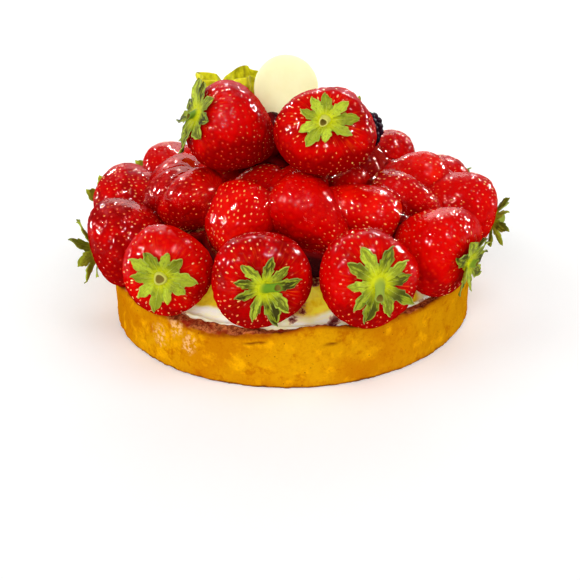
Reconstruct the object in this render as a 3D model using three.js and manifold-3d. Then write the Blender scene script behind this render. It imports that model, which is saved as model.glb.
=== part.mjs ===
// Strawberry tart: a baked crust case filled with cream, a ring of whole strawberries lying with
// their leaves outwards, more strawberries banked up towards the middle, and on top three large
// strawberries, a dark berry, a cape gooseberry in its husk and a round chocolate disc.
// Millimetres, +Z up, origin at the centre of the crust's flat underside, front along -Y.

import * as THREE from 'three';
import { mergeVertices } from 'three/addons/utils/BufferGeometryUtils.js';
import Module from 'manifold-3d';

const wasm = await Module();
wasm.setup();

// ---------------------------------------------------------------- driving dimensions

const CRUST_RADIUS = 87;        // outside of the wall at the rim
const CRUST_FOOT = 88;          // outside of the wall near the underside
const CRUST_HEIGHT = 24;        // mean height of the rim
const CRUST_WALL = 5.5;
const CRUST_FLOOR = 5;
const CRUST_SIDES = 56;

const GAP = 0.3;                // clearance between pieces that touch

const CREAM_LEVEL = 23.6;       // cream beside the rim
const MOUND_HEIGHT = 47;        // cream under the middle of the fruit
const MOUND_FOOT = 79;          // radius at which the mound meets the level cream
const CREAM_SIDES = 36;

const SEPAL_THICKNESS = 0.6;

const DARK_BERRY_WIDTH = 16;
const DARK_BERRY_LENGTH = 19;
const DARK_BERRY_CENTRE = new THREE.Vector3(34.5, -9, 84);

const VALLEY = 0.86;            // depth of the valleys between a dark berry's drupelets

const GOOSEBERRY_RADIUS = 8.3;
const GOOSEBERRY_CENTRE = [-25.5, 22.5, 73.8];
const HUSK_BASE = new THREE.Vector3(-26, 22.8, 83);
const HUSK_AXIS = [-34, 89];    // azimuth and elevation
const HUSK_TURN = 38;           // degrees from the axis's side direction to the first lobe
const HUSK_LENGTH = 23.7;
const HUSK_RADIUS = 17.8;
const HUSK_FLARE = 1.78;        // how far the sheet turns outwards, in radians
const HUSK_THICKNESS = 0.6;
const HUSK_SIDES = 20;
const HUSK_RINGS = 3;

const DISC_RADIUS = 14.6;
const DISC_THICKNESS = 2.6;
const DISC_SIDES = 32;
const DISC_LEAN = 8;            // degrees, top towards +Y
const DISC_CENTRE = [-0.7, 2, 102];

// ---------------------------------------------------------------- small helpers

const TAU = 2 * Math.PI;
const rad = THREE.MathUtils.degToRad;
const mix = THREE.MathUtils.lerp;

// The unit vector at a compass angle (0 is -Y, 90 is +X) and an elevation, both in degrees.
function toward(azimuth, elevation) {
  const level = Math.cos(rad(elevation));
  return new THREE.Vector3(
    Math.sin(rad(azimuth)) * level,
    -Math.cos(rad(azimuth)) * level,
    Math.sin(rad(elevation)),
  );
}

// A repeatable stream of numbers between 0 and 1 for one piece.
function stream(seed) {
  let state = seed * 7919 + 17;
  const next = () => {
    state = (state * 16807) % 2147483647;
    return state / 2147483647;
  };
  next();
  return next;
}

function meshGeometry(points, triangles) {
  const geometry = new THREE.BufferGeometry();
  geometry.setAttribute('position', new THREE.Float32BufferAttribute(points.flatMap((p) => [p.x, p.y, p.z]), 3));
  geometry.setIndex(triangles);
  return geometry;
}

// A closed skin: a first pole, rings of equal length wound anticlockwise seen from the last pole,
// and a last pole.
function poleToPole(firstPole, rings, lastPole) {
  const sides = rings[0].length;
  const points = [firstPole, ...rings.flat(), lastPole];
  const last = points.length - 1;
  const at = (ring, side) => 1 + ring * sides + (side % sides);
  const triangles = [];
  for (let side = 0; side < sides; side += 1) {
    triangles.push(0, at(0, side + 1), at(0, side));
    for (let ring = 0; ring + 1 < rings.length; ring += 1) {
      triangles.push(at(ring, side), at(ring, side + 1), at(ring + 1, side + 1));
      triangles.push(at(ring, side), at(ring + 1, side + 1), at(ring + 1, side));
    }
    triangles.push(at(rings.length - 1, side), at(rings.length - 1, side + 1), last);
  }
  return meshGeometry(points, triangles);
}

function toSolid(geometry) {
  const bare = geometry.clone();
  bare.deleteAttribute('normal');
  bare.deleteAttribute('uv');
  const merged = mergeVertices(bare, 1e-4);
  return new wasm.Manifold(new wasm.Mesh({
    numProp: 3,
    vertProperties: new Float32Array(merged.attributes.position.array),
    triVerts: new Uint32Array(merged.index.array),
  }));
}

function fromSolid(solid) {
  const mesh = solid.getMesh();
  const geometry = new THREE.BufferGeometry();
  geometry.setAttribute('position', new THREE.BufferAttribute(new Float32Array(mesh.vertProperties), 3));
  geometry.setIndex(new THREE.BufferAttribute(new Uint32Array(mesh.triVerts), 1));
  return geometry;
}

// ---------------------------------------------------------------- crust

// Height of the rim's outer edge: a few long waves, a peak and a dip at the front.
function rimHeight(azimuth) {
  const a = rad(azimuth);
  const waves = 0.7 * Math.sin(3 * a + 0.6) + 0.5 * Math.sin(7 * a + 2.1) + 0.35 * Math.sin(17 * a);
  const peak = 2.6 * Math.exp(-(((azimuth - 8) / 9) ** 2));
  const dip = -2.2 * Math.exp(-(((azimuth + 18) / 12) ** 2));
  return CRUST_HEIGHT + waves + peak + dip;
}

function crustGeometry() {
  const outline = (azimuth) => {
    const a = rad(azimuth);
    const rim = rimHeight(azimuth);
    const bulge = 0.35 * Math.sin(5 * a + 1) + 0.3 * Math.sin(11 * a + 0.4);
    const outer = CRUST_RADIUS + bulge;
    const foot = CRUST_FOOT + bulge * 0.4;
    const inner = CRUST_RADIUS - CRUST_WALL;
    const crumb = 0.4 * Math.sin(23 * a) + 0.3 * Math.sin(31 * a + 1);
    return [
      [foot - 0.9, 0],
      [foot, 1],
      [mix(foot, outer, 0.4), CRUST_HEIGHT * 0.35],
      [outer, CRUST_HEIGHT * 0.7],
      [outer - 0.3, rim - 1.2],
      [outer - 1.3, rim],
      [outer - 2.8 + crumb, mix(rim, CRUST_HEIGHT, 0.5) + crumb * 0.6],
      [inner + 0.6, CRUST_HEIGHT - 0.2],
      [inner, CRUST_HEIGHT - 1.2],
      [inner - 0.5, CRUST_FLOOR + 2],
      [inner - 2.5, CRUST_FLOOR],
    ];
  };
  const rings = outline(0).map((_, step) => (
    Array.from({ length: CRUST_SIDES }, (unused, side) => {
      const azimuth = wrapDegrees((side / CRUST_SIDES) * 360);
      const [radius, height] = outline(azimuth)[step];
      return toward(azimuth, 0).multiplyScalar(radius).setZ(height);
    })
  ));
  return poleToPole(new THREE.Vector3(0, 0, 0), rings, new THREE.Vector3(0, 0, CRUST_FLOOR));
}

function wrapDegrees(angle) {
  return angle > 180 ? angle - 360 : angle;
}

// ---------------------------------------------------------------- strawberries

// One row for each strawberry: name, centre (x, y, z), width, height and length, where its leaf
// end points (azimuth and elevation), taper towards the tip, and the number of its random stream.
const BERRIES = [
  ['ring_01', -72.2, -30, 41.8, 38, 41, 36, -86, -12, 0.3, 1],
  ['ring_02', -49.2, -65, 43.8, 34.6, 36.8, 37, -1, 12, 0.3, 2],
  ['ring_03', -12.5, -75.5, 44.3, 39, 38, 37, 9, 10, 0.3, 3],
  ['ring_04', 28, -76.5, 43.8, 39, 37.4, 38, 13, 16, 0.3, 4],
  ['ring_05', 59.5, -53.5, 45.5, 37, 40, 36, 50, -9, 0.35, 5],
  ['ring_06', 77, -8, 46, 36, 38, 43, 84, -14, 0.35, 6],
  ['ring_07', 75, 31, 44, 39, 36, 36, 125, -12, 0.3, 7],
  ['ring_08', 52, 61, 42.5, 34, 35, 37, 137, 8, 0.3, 8],
  ['ring_09', 22, 77, 42.5, 34, 34, 37, 162, 4, 0.3, 9],
  ['ring_10', -13, 79, 42.5, 34, 36, 37, -174, 4, 0.3, 10],
  ['ring_11', -41, 70, 43, 32, 35, 37, -149, 4, 0.3, 11],
  ['ring_12', -62, 44.5, 50, 34, 38, 37, -140, -14, 0.3, 12],
  ['ring_13', -78.5, 12, 47.2, 36, 38, 38, -122, -14, 0.3, 13],
  ['bank_01', -59, 9, 56, 30, 22, 38, 70, 35, 0.4, 21],
  ['bank_02', -58, -10, 55, 24, 24, 42, 65, 30, 0.4, 22],
  ['bank_03', -45, -27, 58, 30, 26, 40, 60, 32, 0.4, 23],
  ['bank_04', -22.3, -41, 54.2, 35, 31, 35, 155, 30, 0.4, 24],
  ['bank_06', 30, -40, 58, 27, 24, 38, 80, -22, 0.45, 26],
  ['bank_05', 8.6, -43, 56, 31, 31, 43, -120, 34, 0.35, 25],
  ['bank_07', 51, -24, 57.3, 24, 24, 36, -95, 14, 0.4, 27],
  ['bank_08', 57, -1, 59, 22, 24, 38, 95, 6, 0.3, 28],
  ['bank_09', 47, 21, 64, 26, 27, 34, 110, 0, 0.3, 29],
  ['bank_10', 36.5, 45, 53, 33, 30, 36, -40, 40, 0.3, 30],
  ['bank_11', 6, 54, 53, 33, 30, 36, -10, 40, 0.3, 31],
  ['bank_12', -25, 50, 53, 33, 30, 36, 20, 40, 0.3, 32],
  ['bank_13', -46, 31, 56, 31, 28, 36, 50, 40, 0.3, 33],
  ['high_01', -15, -16, 59.5, 24, 23, 32, 95, 12, 0.3, 41],
  ['high_02', 1, -22, 60.5, 23, 24, 38, 90, 4, 0.3, 42],
  ['high_03', 25, -14, 58, 22, 22, 28, 60, 10, 0.3, 43],
  ['high_04', 34, 4, 64, 22, 26, 28, 60, 30, 0.3, 44],
  ['high_05', 22, 28, 54, 24, 22, 28, -30, 30, 0.3, 45],
  ['high_06', -8, 24, 58, 26, 24, 30, 30, 30, 0.3, 46],
  ['high_07', -34, 4, 61, 24, 24, 30, 60, 30, 0.3, 47],
  ['top_01', -23.5, -18, 87.8, 38, 38, 42, -60, 28, 0.35, 51],
  ['top_02', 15.1, -30, 87.3, 41, 37.6, 38, -2, 34, 0.3, 52],
  ['top_03', 20, 17.5, 79.5, 39, 38, 38, 150, 0, 0.3, 53],
];

const SOCKET_MESH = { sides: 10, rings: 6 };
const SOCKET_GROWTH = 2;      // clears the berry although the socket has few sides
const RING_MESH = { sides: 12, rings: 7 };
const BANK_MESH = { sides: 10, rings: 7 };
const HIGH_MESH = { sides: 9, rings: 6 };
const TOP_MESH = { sides: 14, rings: 9 };

const LOBE = 0.045;             // unevenness of a strawberry's cross-section
const SHOULDER_DIMPLE = 2.6;    // depth of the hollow round the stalk
const SHOULDER_SPREAD = 0.42;

// The stars of leaves: how many, how far they reach over the shoulder in radians, and how far
// their tips stand off it in millimetres.
const USUAL_LEAVES = { count: 9, spread: 0.66, flare: 3 };
const LEAVES = {
  ring_01: { count: 8, spread: 0.54, flare: 6 },
  ring_02: { count: 10, spread: 0.56, flare: 2.2 },
  ring_03: { count: 9, spread: 0.54, flare: 3.6 },
  ring_04: { count: 10, spread: 0.6, flare: 2.4 },
  ring_05: { count: 9, spread: 0.55, flare: 3.4 },
  ring_06: { count: 8, spread: 0.5, flare: 6 },
  top_01: { count: 9, spread: 0.62, flare: 3.2 },
  top_02: { count: 9, spread: 0.5, flare: 2.4 },
};

function readBerry([name, x, y, z, width, height, length, azimuth, elevation, taper, seed]) {
  const centre = new THREE.Vector3(x, y, z);
  const axis = toward(azimuth, elevation);
  const side = new THREE.Vector3(0, 0, 1).cross(axis).normalize();
  const up = axis.clone().cross(side);
  const next = stream(seed);
  const lobes = [2, 3, 4].map((count) => ({ count, size: (LOBE * (0.3 + 0.9 * next())) / count ** 0.5, turn: TAU * next() }));
  const kind = name.split('_')[0];
  return { name, kind, centre, axis, side, up, width, height, length, taper, lobes, seed };
}

// A point of a strawberry's skin, grown outwards by `grow`: phi runs from the tip (0) to the
// stalk (pi), theta round the axis.
function berryPoint(berry, phi, theta, grow = 0) {
  const fullest = (1 + berry.taper ** 2 * 0.55);
  const lobe = berry.lobes.reduce((sum, l) => sum + l.size * Math.cos(l.count * theta + l.turn), 0);
  const profile = (Math.sin(phi) * (1 - berry.taper * Math.cos(phi))) / fullest;
  const reach = profile * (1 + lobe * Math.sin(phi));
  const dimple = SHOULDER_DIMPLE * Math.exp(-(((Math.PI - phi) / SHOULDER_SPREAD) ** 2));
  const along = -(berry.length / 2 + grow) * Math.cos(phi) - dimple;
  return berry.centre.clone()
    .addScaledVector(berry.axis, along)
    .addScaledVector(berry.side, (berry.width / 2 + grow) * reach * Math.cos(theta))
    .addScaledVector(berry.up, (berry.height / 2 + grow) * reach * Math.sin(theta));
}

function berryGeometry(berry, { sides, rings }, grow = 0) {
  const loops = Array.from({ length: rings }, (_, ring) => {
    const phi = (Math.PI * (ring + 0.75)) / (rings + 0.5);
    return Array.from({ length: sides }, (unused, side) => (
      berryPoint(berry, phi, (TAU * (side + 0.5 * (ring % 2))) / sides, grow)
    ));
  });
  return poleToPole(berryPoint(berry, 0, 0, grow), loops, berryPoint(berry, Math.PI, 0, grow));
}

// ---------------------------------------------------------------- leaves

// A star of thin leaves round a hub. `sheet(reach, angle)` gives a point of the middle sheet and
// the direction of its outer face; the two faces carry the same triangles.
function leafStar(count, thickness, sheet, leaf) {
  const middle = [sheet(0, 0)];
  const faces = [];
  const border = [];
  for (let i = 0; i < count; i += 1) {
    middle.push(...leaf(i).map(([reach, angle, lift]) => sheet(reach, angle, lift)));
  }
  const at = (i, k) => 1 + 4 * (i % count) + k;
  for (let i = 0; i < count; i += 1) {
    const [notch, left, tip, right, nextNotch] = [at(i, 0), at(i, 1), at(i, 2), at(i, 3), at(i + 1, 0)];
    faces.push([0, notch, nextNotch]);
    faces.push([notch, left, tip], [notch, tip, nextNotch], [nextNotch, tip, right]);
    border.push([notch, left], [left, tip], [tip, right], [right, nextNotch]);
  }
  const total = middle.length;
  const outer = middle.map(({ point, normal }) => point.clone().addScaledVector(normal, thickness / 2));
  const under = middle.map(({ point, normal }) => point.clone().addScaledVector(normal, -thickness / 2));
  const triangles = [];
  faces.forEach(([a, b, c]) => {
    triangles.push(a, b, c);
    triangles.push(a + total, c + total, b + total);
  });
  border.forEach(([a, b]) => {
    triangles.push(b, a, a + total);
    triangles.push(b, a + total, b + total);
  });
  return meshGeometry([...outer, ...under], triangles);
}

// The leaves and stub of a strawberry, lying over its shoulder with their tips lifted.
function calyxGeometry(berry) {
  const { count, spread, flare } = LEAVES[berry.name] ?? USUAL_LEAVES;
  const next = stream(berry.seed + 100);
  const sheet = (reach, angle, lift = 0) => {
    const phi = Math.PI - reach * spread;
    const point = berryPoint(berry, Math.max(phi, 0.1), angle);
    const ahead = berryPoint(berry, Math.max(phi, 0.1) - 0.01, angle);
    const aside = berryPoint(berry, Math.max(phi, 0.1), angle + 0.01);
    const normal = reach < 0.05
      ? berry.axis.clone()
      : aside.sub(point).cross(ahead.sub(point)).normalize();
    if (normal.dot(point.clone().sub(berry.centre)) < 0) normal.negate();
    return { point: point.addScaledVector(normal, lift), normal };
  };
  const leaf = (i) => {
    const step = TAU / count;
    const middle = i * step + 0.25 * step * (next() - 0.5);
    const long = 0.82 + 0.3 * next();
    const curl = flare * (0.7 + 0.6 * next());
    return [
      [0.25, middle - step / 2, 1.3],
      [0.6 * long, middle - 0.4 * step, 0.9 + 0.4 * curl],
      [long, middle, curl],
      [0.6 * long, middle + 0.4 * step, 0.9 + 0.4 * curl],
    ];
  };
  const withHub = (reach, angle, lift) => (reach === 0 ? sheet(0, 0, 3.4) : sheet(reach, angle, lift));
  return leafStar(count, SEPAL_THICKNESS, withHub, leaf);
}

// ---------------------------------------------------------------- cream

function creamTop(radius, azimuth) {
  const a = rad(azimuth);
  const wave = 0.35 * Math.sin(6 * a + 0.5) + 0.3 * Math.sin(13 * a + radius * 0.2);
  const rise = Math.max(0, 1 - radius / MOUND_FOOT);
  const mound = (MOUND_HEIGHT - CREAM_LEVEL) * Math.sin(Math.min(1, rise * 1.7) * (Math.PI / 2)) ** 1.1;
  return CREAM_LEVEL + wave + mound;
}

function creamGeometry() {
  const foot = CRUST_RADIUS - CRUST_WALL - GAP;
  const bottom = CRUST_FLOOR + GAP;
  const loop = (radius, height) => Array.from({ length: CREAM_SIDES }, (_, side) => {
    const azimuth = wrapDegrees((side / CREAM_SIDES) * 360);
    return toward(azimuth, 0).multiplyScalar(radius).setZ(height(azimuth));
  });
  const rings = [
    loop(foot - 3.4, () => bottom),
    loop(foot - 0.9, () => bottom + 2.4),
    loop(foot - 0.4, () => CREAM_LEVEL - 2.5),
    ...[foot - 0.6, 76, 70, 63, 55, 46, 36, 25, 13].map((radius) => (
      loop(radius, (azimuth) => creamTop(radius, azimuth))
    )),
  ];
  return poleToPole(new THREE.Vector3(0, 0, bottom), rings, new THREE.Vector3(0, 0, creamTop(0, 0)));
}

// ---------------------------------------------------------------- pieces on top

// A berry of many drupelets: a fine ball whose coarse corners stand out from the valleys between.
function darkBerryGeometry(centre, axis, width, length) {
  const side = new THREE.Vector3(0, 0, 1).cross(axis).normalize();
  const up = axis.clone().cross(side);
  const geometry = mergeVertices(bareBall(3));
  const corners = mergeVertices(bareBall(1)).attributes.position;
  const position = geometry.attributes.position;
  const point = new THREE.Vector3();
  const corner = new THREE.Vector3();
  for (let i = 0; i < position.count; i += 1) {
    point.fromBufferAttribute(position, i);
    let stands = false;
    for (let k = 0; k < corners.count; k += 1) {
      stands ||= corner.fromBufferAttribute(corners, k).distanceTo(point) < 0.01;
    }
    point.multiplyScalar(stands ? 1 : VALLEY);
    position.setXYZ(i, point.x, point.y, point.z);
  }
  geometry.scale(width / 2, width / 2, length / 2);
  geometry.applyMatrix4(new THREE.Matrix4().makeBasis(side, up, axis).setPosition(centre));
  return geometry;
}

function bareBall(detail) {
  const ball = new THREE.IcosahedronGeometry(1, detail);
  ball.deleteAttribute('normal');
  ball.deleteAttribute('uv');
  return ball;
}

// The husk of the gooseberry, a papery cup that opens outwards from the stalk in five lobes.
function huskGeometry(base, axis) {
  const side = new THREE.Vector3(0, 0, 1).cross(axis).normalize();
  const up = axis.clone().cross(side);
  const sheet = (step, angle) => {
    const turned = angle - rad(HUSK_TURN);
    const lobe = 0.68 + 0.32 * Math.sqrt(Math.abs(Math.cos(2.5 * turned))) + 0.06 * Math.sin(angle + 1);
    const along = HUSK_LENGTH * lobe * (step / HUSK_RINGS);
    const fold = 1 + 0.16 * Math.cos(10 * turned) + 0.1 * Math.cos(3 * angle + step);
    const out = HUSK_RADIUS * Math.sin(HUSK_FLARE * (step / HUSK_RINGS)) * fold;
    return base.clone()
      .addScaledVector(axis, along)
      .addScaledVector(side, out * Math.cos(angle))
      .addScaledVector(up, out * Math.sin(angle));
  };
  const outer = [];
  const inner = [];
  for (let step = 1; step <= HUSK_RINGS; step += 1) {
    outer.push(Array.from({ length: HUSK_SIDES }, (_, i) => sheet(step, (TAU * i) / HUSK_SIDES)));
    inner.unshift(outer[outer.length - 1].map((point) => {
      const middle = base.clone().addScaledVector(axis, point.clone().sub(base).dot(axis));
      return point.clone().lerp(middle, HUSK_THICKNESS / point.distanceTo(middle)).addScaledVector(axis, 0.2);
    }));
  }
  return poleToPole(base, [...outer, ...inner], base.clone().addScaledVector(axis, 2 * HUSK_THICKNESS));
}

// ---------------------------------------------------------------- the tart

const COLOURS = {
  crust: '#dd9a24',
  cream: '#efe3ae',
  strawberry: '#c9100e',
  leaf: '#8fae35',
  disc: '#f6efc0',
  husk: '#a8a634',
  gooseberry: '#e08a1e',
  darkBerry: '#2a1226',
};

const tart = new THREE.Group();

function addPiece(name, geometry, colour, roughness) {
  const material = new THREE.MeshStandardMaterial({ color: colour, roughness, metalness: 0 });
  const mesh = new THREE.Mesh(geometry, material);
  mesh.name = name;
  tart.add(mesh);
}

function discGeometry(grow = 0) {
  const height = DISC_THICKNESS + 2 * grow;
  const geometry = new THREE.CylinderGeometry(DISC_RADIUS + grow, DISC_RADIUS + grow, height, DISC_SIDES);
  return geometry.rotateX(rad(-DISC_LEAN)).translate(...DISC_CENTRE);
}

// Berries pressed together: each is cut back where an earlier one already lies.
const berries = BERRIES.map(readBerry);
const meshFor = { ring: RING_MESH, bank: BANK_MESH, high: HIGH_MESH, top: TOP_MESH };
const grownDisc = toSolid(discGeometry(GAP));
const placed = [];
berries.forEach((berry) => {
  let solid = toSolid(berryGeometry(berry, meshFor[berry.kind]));
  placed.forEach((other) => {
    const near = (berry.length + other.berry.length) / 2;
    if (berry.centre.distanceTo(other.berry.centre) < near) solid = solid.subtract(other.grown);
  });
  if (berry.kind === 'top') solid = solid.subtract(grownDisc);
  placed.push({ berry, solid, grown: toSolid(berryGeometry(berry, meshFor[berry.kind], GAP)) });
});
placed.forEach(({ berry, solid }) => {
  addPiece(`strawberry_${berry.name}`, fromSolid(solid), COLOURS.strawberry, 0.3);
});
berries.filter((berry) => ['ring', 'top'].includes(berry.kind)).forEach((berry) => {
  addPiece(`leaves_${berry.name}`, calyxGeometry(berry), COLOURS.leaf, 0.6);
});

// The cream has a socket for every berry that sinks into it, with fewer sides where no eye
// reaches, and the rim gives way to the berries that lie on it.
let cream = toSolid(creamGeometry());
let crust = toSolid(crustGeometry());
placed.forEach(({ berry, grown }) => {
  if (berry.kind === 'ring') {
    cream = cream.subtract(grown);
    crust = crust.subtract(grown);
  } else {
    cream = cream.subtract(toSolid(berryGeometry(berry, SOCKET_MESH, SOCKET_GROWTH)));
  }
});
addPiece('cream', fromSolid(cream), COLOURS.cream, 0.5);
addPiece('crust', fromSolid(crust), COLOURS.crust, 0.85);

addPiece('chocolate_disc', discGeometry(), COLOURS.disc, 0.45);
const darkBerry = darkBerryGeometry(DARK_BERRY_CENTRE, toward(80, 60), DARK_BERRY_WIDTH, DARK_BERRY_LENGTH);
addPiece('dark_berry', darkBerry, COLOURS.darkBerry, 0.25);
const gooseberry = new THREE.SphereGeometry(GOOSEBERRY_RADIUS, 10, 7);
addPiece('gooseberry', gooseberry.translate(...GOOSEBERRY_CENTRE), COLOURS.gooseberry, 0.4);
addPiece('gooseberry_husk', huskGeometry(HUSK_BASE, toward(...HUSK_AXIS)), COLOURS.husk, 0.7);

export default tart;
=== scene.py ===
"""Strawberry tart: the looks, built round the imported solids.

Lengths are millimetres until a mesh is made; +Z is up, the front is -Y, and the origin is the
centre of the crust's underside. Every random draw comes from a numbered stream or a seeded noise.
"""

import math

import bpy
import numpy as np
from mathutils import Matrix, Vector


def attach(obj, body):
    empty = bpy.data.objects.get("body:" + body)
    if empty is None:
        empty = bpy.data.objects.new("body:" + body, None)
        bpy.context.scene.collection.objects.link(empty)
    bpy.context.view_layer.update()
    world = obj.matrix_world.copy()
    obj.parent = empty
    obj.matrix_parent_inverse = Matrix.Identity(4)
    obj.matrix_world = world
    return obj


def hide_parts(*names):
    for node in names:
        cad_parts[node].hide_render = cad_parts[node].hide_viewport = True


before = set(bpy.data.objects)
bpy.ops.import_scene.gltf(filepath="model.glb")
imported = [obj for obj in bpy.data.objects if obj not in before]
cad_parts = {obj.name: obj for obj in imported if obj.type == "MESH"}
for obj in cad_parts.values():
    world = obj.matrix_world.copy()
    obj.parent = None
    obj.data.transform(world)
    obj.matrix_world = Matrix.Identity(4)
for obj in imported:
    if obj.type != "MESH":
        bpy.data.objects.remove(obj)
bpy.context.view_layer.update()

MM = 0.001
TAU = 2 * math.pi
GOLDEN_ANGLE = math.pi * (3 - math.sqrt(5))

# ---- dimensions shared with the solids

CRUST_RADIUS = 87
CRUST_FOOT = 88
CRUST_HEIGHT = 24
CRUST_WALL = 5.5
CRUST_FLOOR = 5
GAP = 0.3

CREAM_LEVEL = 23.6
MOUND_HEIGHT = 47
MOUND_FOOT = 79

LOBE = 0.045  # how far a berry's section waves, as a share of its radius
SHOULDER_DIMPLE = 2.6  # depth of the hollow round the stalk
SHOULDER_SPREAD = 0.42  # its width in radians of phi

DARK_BERRY_WIDTH = 16
DARK_BERRY_LENGTH = 19
DARK_BERRY_CENTRE = (34.5, -9, 84)
DARK_BERRY_AXIS = (80, 60)

GOOSEBERRY_RADIUS = 8.3
GOOSEBERRY_CENTRE = (-25.5, 22.5, 73.8)
HUSK_BASE = (-26, 22.8, 83)
HUSK_AXIS = (-34, 89)
HUSK_TURN = 38
HUSK_LENGTH = 23.7
HUSK_RADIUS = 17.8
HUSK_FLARE = 1.78
HUSK_THICKNESS = 0.6

DISC_RADIUS = 14.6
DISC_THICKNESS = 2.6
DISC_LEAN = 8
DISC_CENTRE = (-0.7, 2, 102)

# name, centre (x, y, z), width, height, length, leaf end's azimuth and elevation, taper, stream
BERRIES = [
    ("ring_01", -72.2, -30, 41.8, 38, 41, 36, -86, -12, 0.3, 1),
    ("ring_02", -49.2, -65, 43.8, 34.6, 36.8, 37, -1, 12, 0.3, 2),
    ("ring_03", -12.5, -75.5, 44.3, 39, 38, 37, 9, 10, 0.3, 3),
    ("ring_04", 28, -76.5, 43.8, 39, 37.4, 38, 13, 16, 0.3, 4),
    ("ring_05", 59.5, -53.5, 45.5, 37, 40, 36, 50, -9, 0.35, 5),
    ("ring_06", 77, -8, 46, 36, 38, 43, 84, -14, 0.35, 6),
    ("ring_07", 75, 31, 44, 39, 36, 36, 125, -12, 0.3, 7),
    ("ring_08", 52, 61, 42.5, 34, 35, 37, 137, 8, 0.3, 8),
    ("ring_09", 22, 77, 42.5, 34, 34, 37, 162, 4, 0.3, 9),
    ("ring_10", -13, 79, 42.5, 34, 36, 37, -174, 4, 0.3, 10),
    ("ring_11", -41, 70, 43, 32, 35, 37, -149, 4, 0.3, 11),
    ("ring_12", -62, 44.5, 50, 34, 38, 37, -140, -14, 0.3, 12),
    ("ring_13", -78.5, 12, 47.2, 36, 38, 38, -122, -14, 0.3, 13),
    ("bank_01", -59, 9, 56, 30, 22, 38, 70, 35, 0.4, 21),
    ("bank_02", -58, -10, 55, 24, 24, 42, 65, 30, 0.4, 22),
    ("bank_03", -45, -27, 58, 30, 26, 40, 60, 32, 0.4, 23),
    ("bank_04", -22.3, -41, 54.2, 35, 31, 35, 155, 30, 0.4, 24),
    ("bank_06", 30, -40, 58, 27, 24, 38, 80, -22, 0.45, 26),
    ("bank_05", 8.6, -43, 56, 31, 31, 43, -120, 34, 0.35, 25),
    ("bank_07", 51, -24, 57.3, 24, 24, 36, -95, 14, 0.4, 27),
    ("bank_08", 57, -1, 59, 22, 24, 38, 95, 6, 0.3, 28),
    ("bank_09", 47, 21, 64, 26, 27, 34, 110, 0, 0.3, 29),
    ("bank_10", 36.5, 45, 53, 33, 30, 36, -40, 40, 0.3, 30),
    ("bank_11", 6, 54, 53, 33, 30, 36, -10, 40, 0.3, 31),
    ("bank_12", -25, 50, 53, 33, 30, 36, 20, 40, 0.3, 32),
    ("bank_13", -46, 31, 56, 31, 28, 36, 50, 40, 0.3, 33),
    ("high_01", -15, -16, 59.5, 24, 23, 32, 95, 12, 0.3, 41),
    ("high_02", 1, -22, 60.5, 23, 24, 38, 90, 4, 0.3, 42),
    ("high_03", 25, -14, 58, 22, 22, 28, 60, 10, 0.3, 43),
    ("high_04", 34, 4, 64, 22, 26, 28, 60, 30, 0.3, 44),
    ("high_05", 22, 28, 54, 24, 22, 28, -30, 30, 0.3, 45),
    ("high_06", -8, 24, 58, 26, 24, 30, 30, 30, 0.3, 46),
    ("high_07", -34, 4, 61, 24, 24, 30, 60, 30, 0.3, 47),
    ("top_01", -23.5, -18, 87.8, 38, 38, 42, -60, 28, 0.35, 51),
    ("top_02", 15.1, -30, 87.3, 41, 37.6, 38, -2, 34, 0.3, 52),
    ("top_03", 20, 17.5, 79.5, 39, 38, 38, 150, 0, 0.3, 53),
]

# how many leaves, how far they reach over the shoulder in radians, how far their tips stand off it
USUAL_LEAVES = (9, 0.66, 3)
LEAVES = {
    "ring_01": (8, 0.54, 6),
    "ring_02": (10, 0.56, 2.2),
    "ring_03": (9, 0.54, 3.6),
    "ring_04": (10, 0.6, 2.4),
    "ring_05": (9, 0.55, 3.4),
    "ring_06": (8, 0.5, 6),
    "top_01": (9, 0.62, 3.2),
    "top_02": (9, 0.5, 2.4),
}

# ---- small maths


def toward(azimuth, elevation):
    """The unit vector at a compass angle (0 is -Y, 90 is +X) and an elevation, in degrees."""
    a = np.radians(azimuth)
    level = math.cos(math.radians(elevation))
    up = np.full_like(np.asarray(a, float), math.sin(math.radians(elevation)))
    return np.stack([np.sin(a) * level, -np.cos(a) * level, up], axis=-1)


def stream(seed):
    """A repeatable stream of numbers between 0 and 1."""
    state = seed * 7919 + 17

    def draw():
        nonlocal state
        state = state * 16807 % 2147483647
        return state / 2147483647

    draw()
    return draw


def smooth(low, high, value):
    """0 below low, 1 above high, and a soft step between them."""
    t = np.clip((value - low) / (high - low), 0, 1)
    return t * t * (3 - 2 * t)


def noise(points, size, seed=0):
    """Smooth noise from -1 to 1 with features about `size` across."""
    spot = np.asarray(points, float) / size
    cell = np.floor(spot).astype(np.int64)
    part = spot - cell
    part = part * part * (3 - 2 * part)
    total = np.zeros(spot.shape[:-1])
    for corner in np.ndindex(2, 2, 2):
        key = (cell + corner) @ np.array([73856093, 19349663, 83492791]) + seed * 1013904223
        key = ((key ^ (key >> 13)) * 1274126177) & 0x7FFFFFFF
        key = (key ^ (key >> 15)) & 0xFFFF
        total += np.prod(np.where(corner, part, 1 - part), axis=-1) * (key / 32767.5 - 1)
    return total


def unit(vectors):
    return vectors / np.maximum(np.linalg.norm(vectors, axis=-1, keepdims=True), 1e-9)


def basis(axis):
    """Two directions square to an axis: level side, and up."""
    side = unit(np.cross((0, 0, 1), axis))
    return side, np.cross(axis, side)


def turns(count):
    """Even angles all the way round."""
    return np.linspace(0, TAU, count, endpoint=False)


def polar(points):
    """How far points are from the tart's upright middle line, and their azimuth in degrees."""
    x, y = points[..., 0], points[..., 1]
    return np.hypot(x, y), np.degrees(np.arctan2(x, -y))


def spiral(count):
    """Heights from 1 to -1 and turns of points that lie evenly on a ball."""
    number = np.arange(count)
    return 1 - 2 * (number + 0.5) / count, number * GOLDEN_ANGLE


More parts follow.
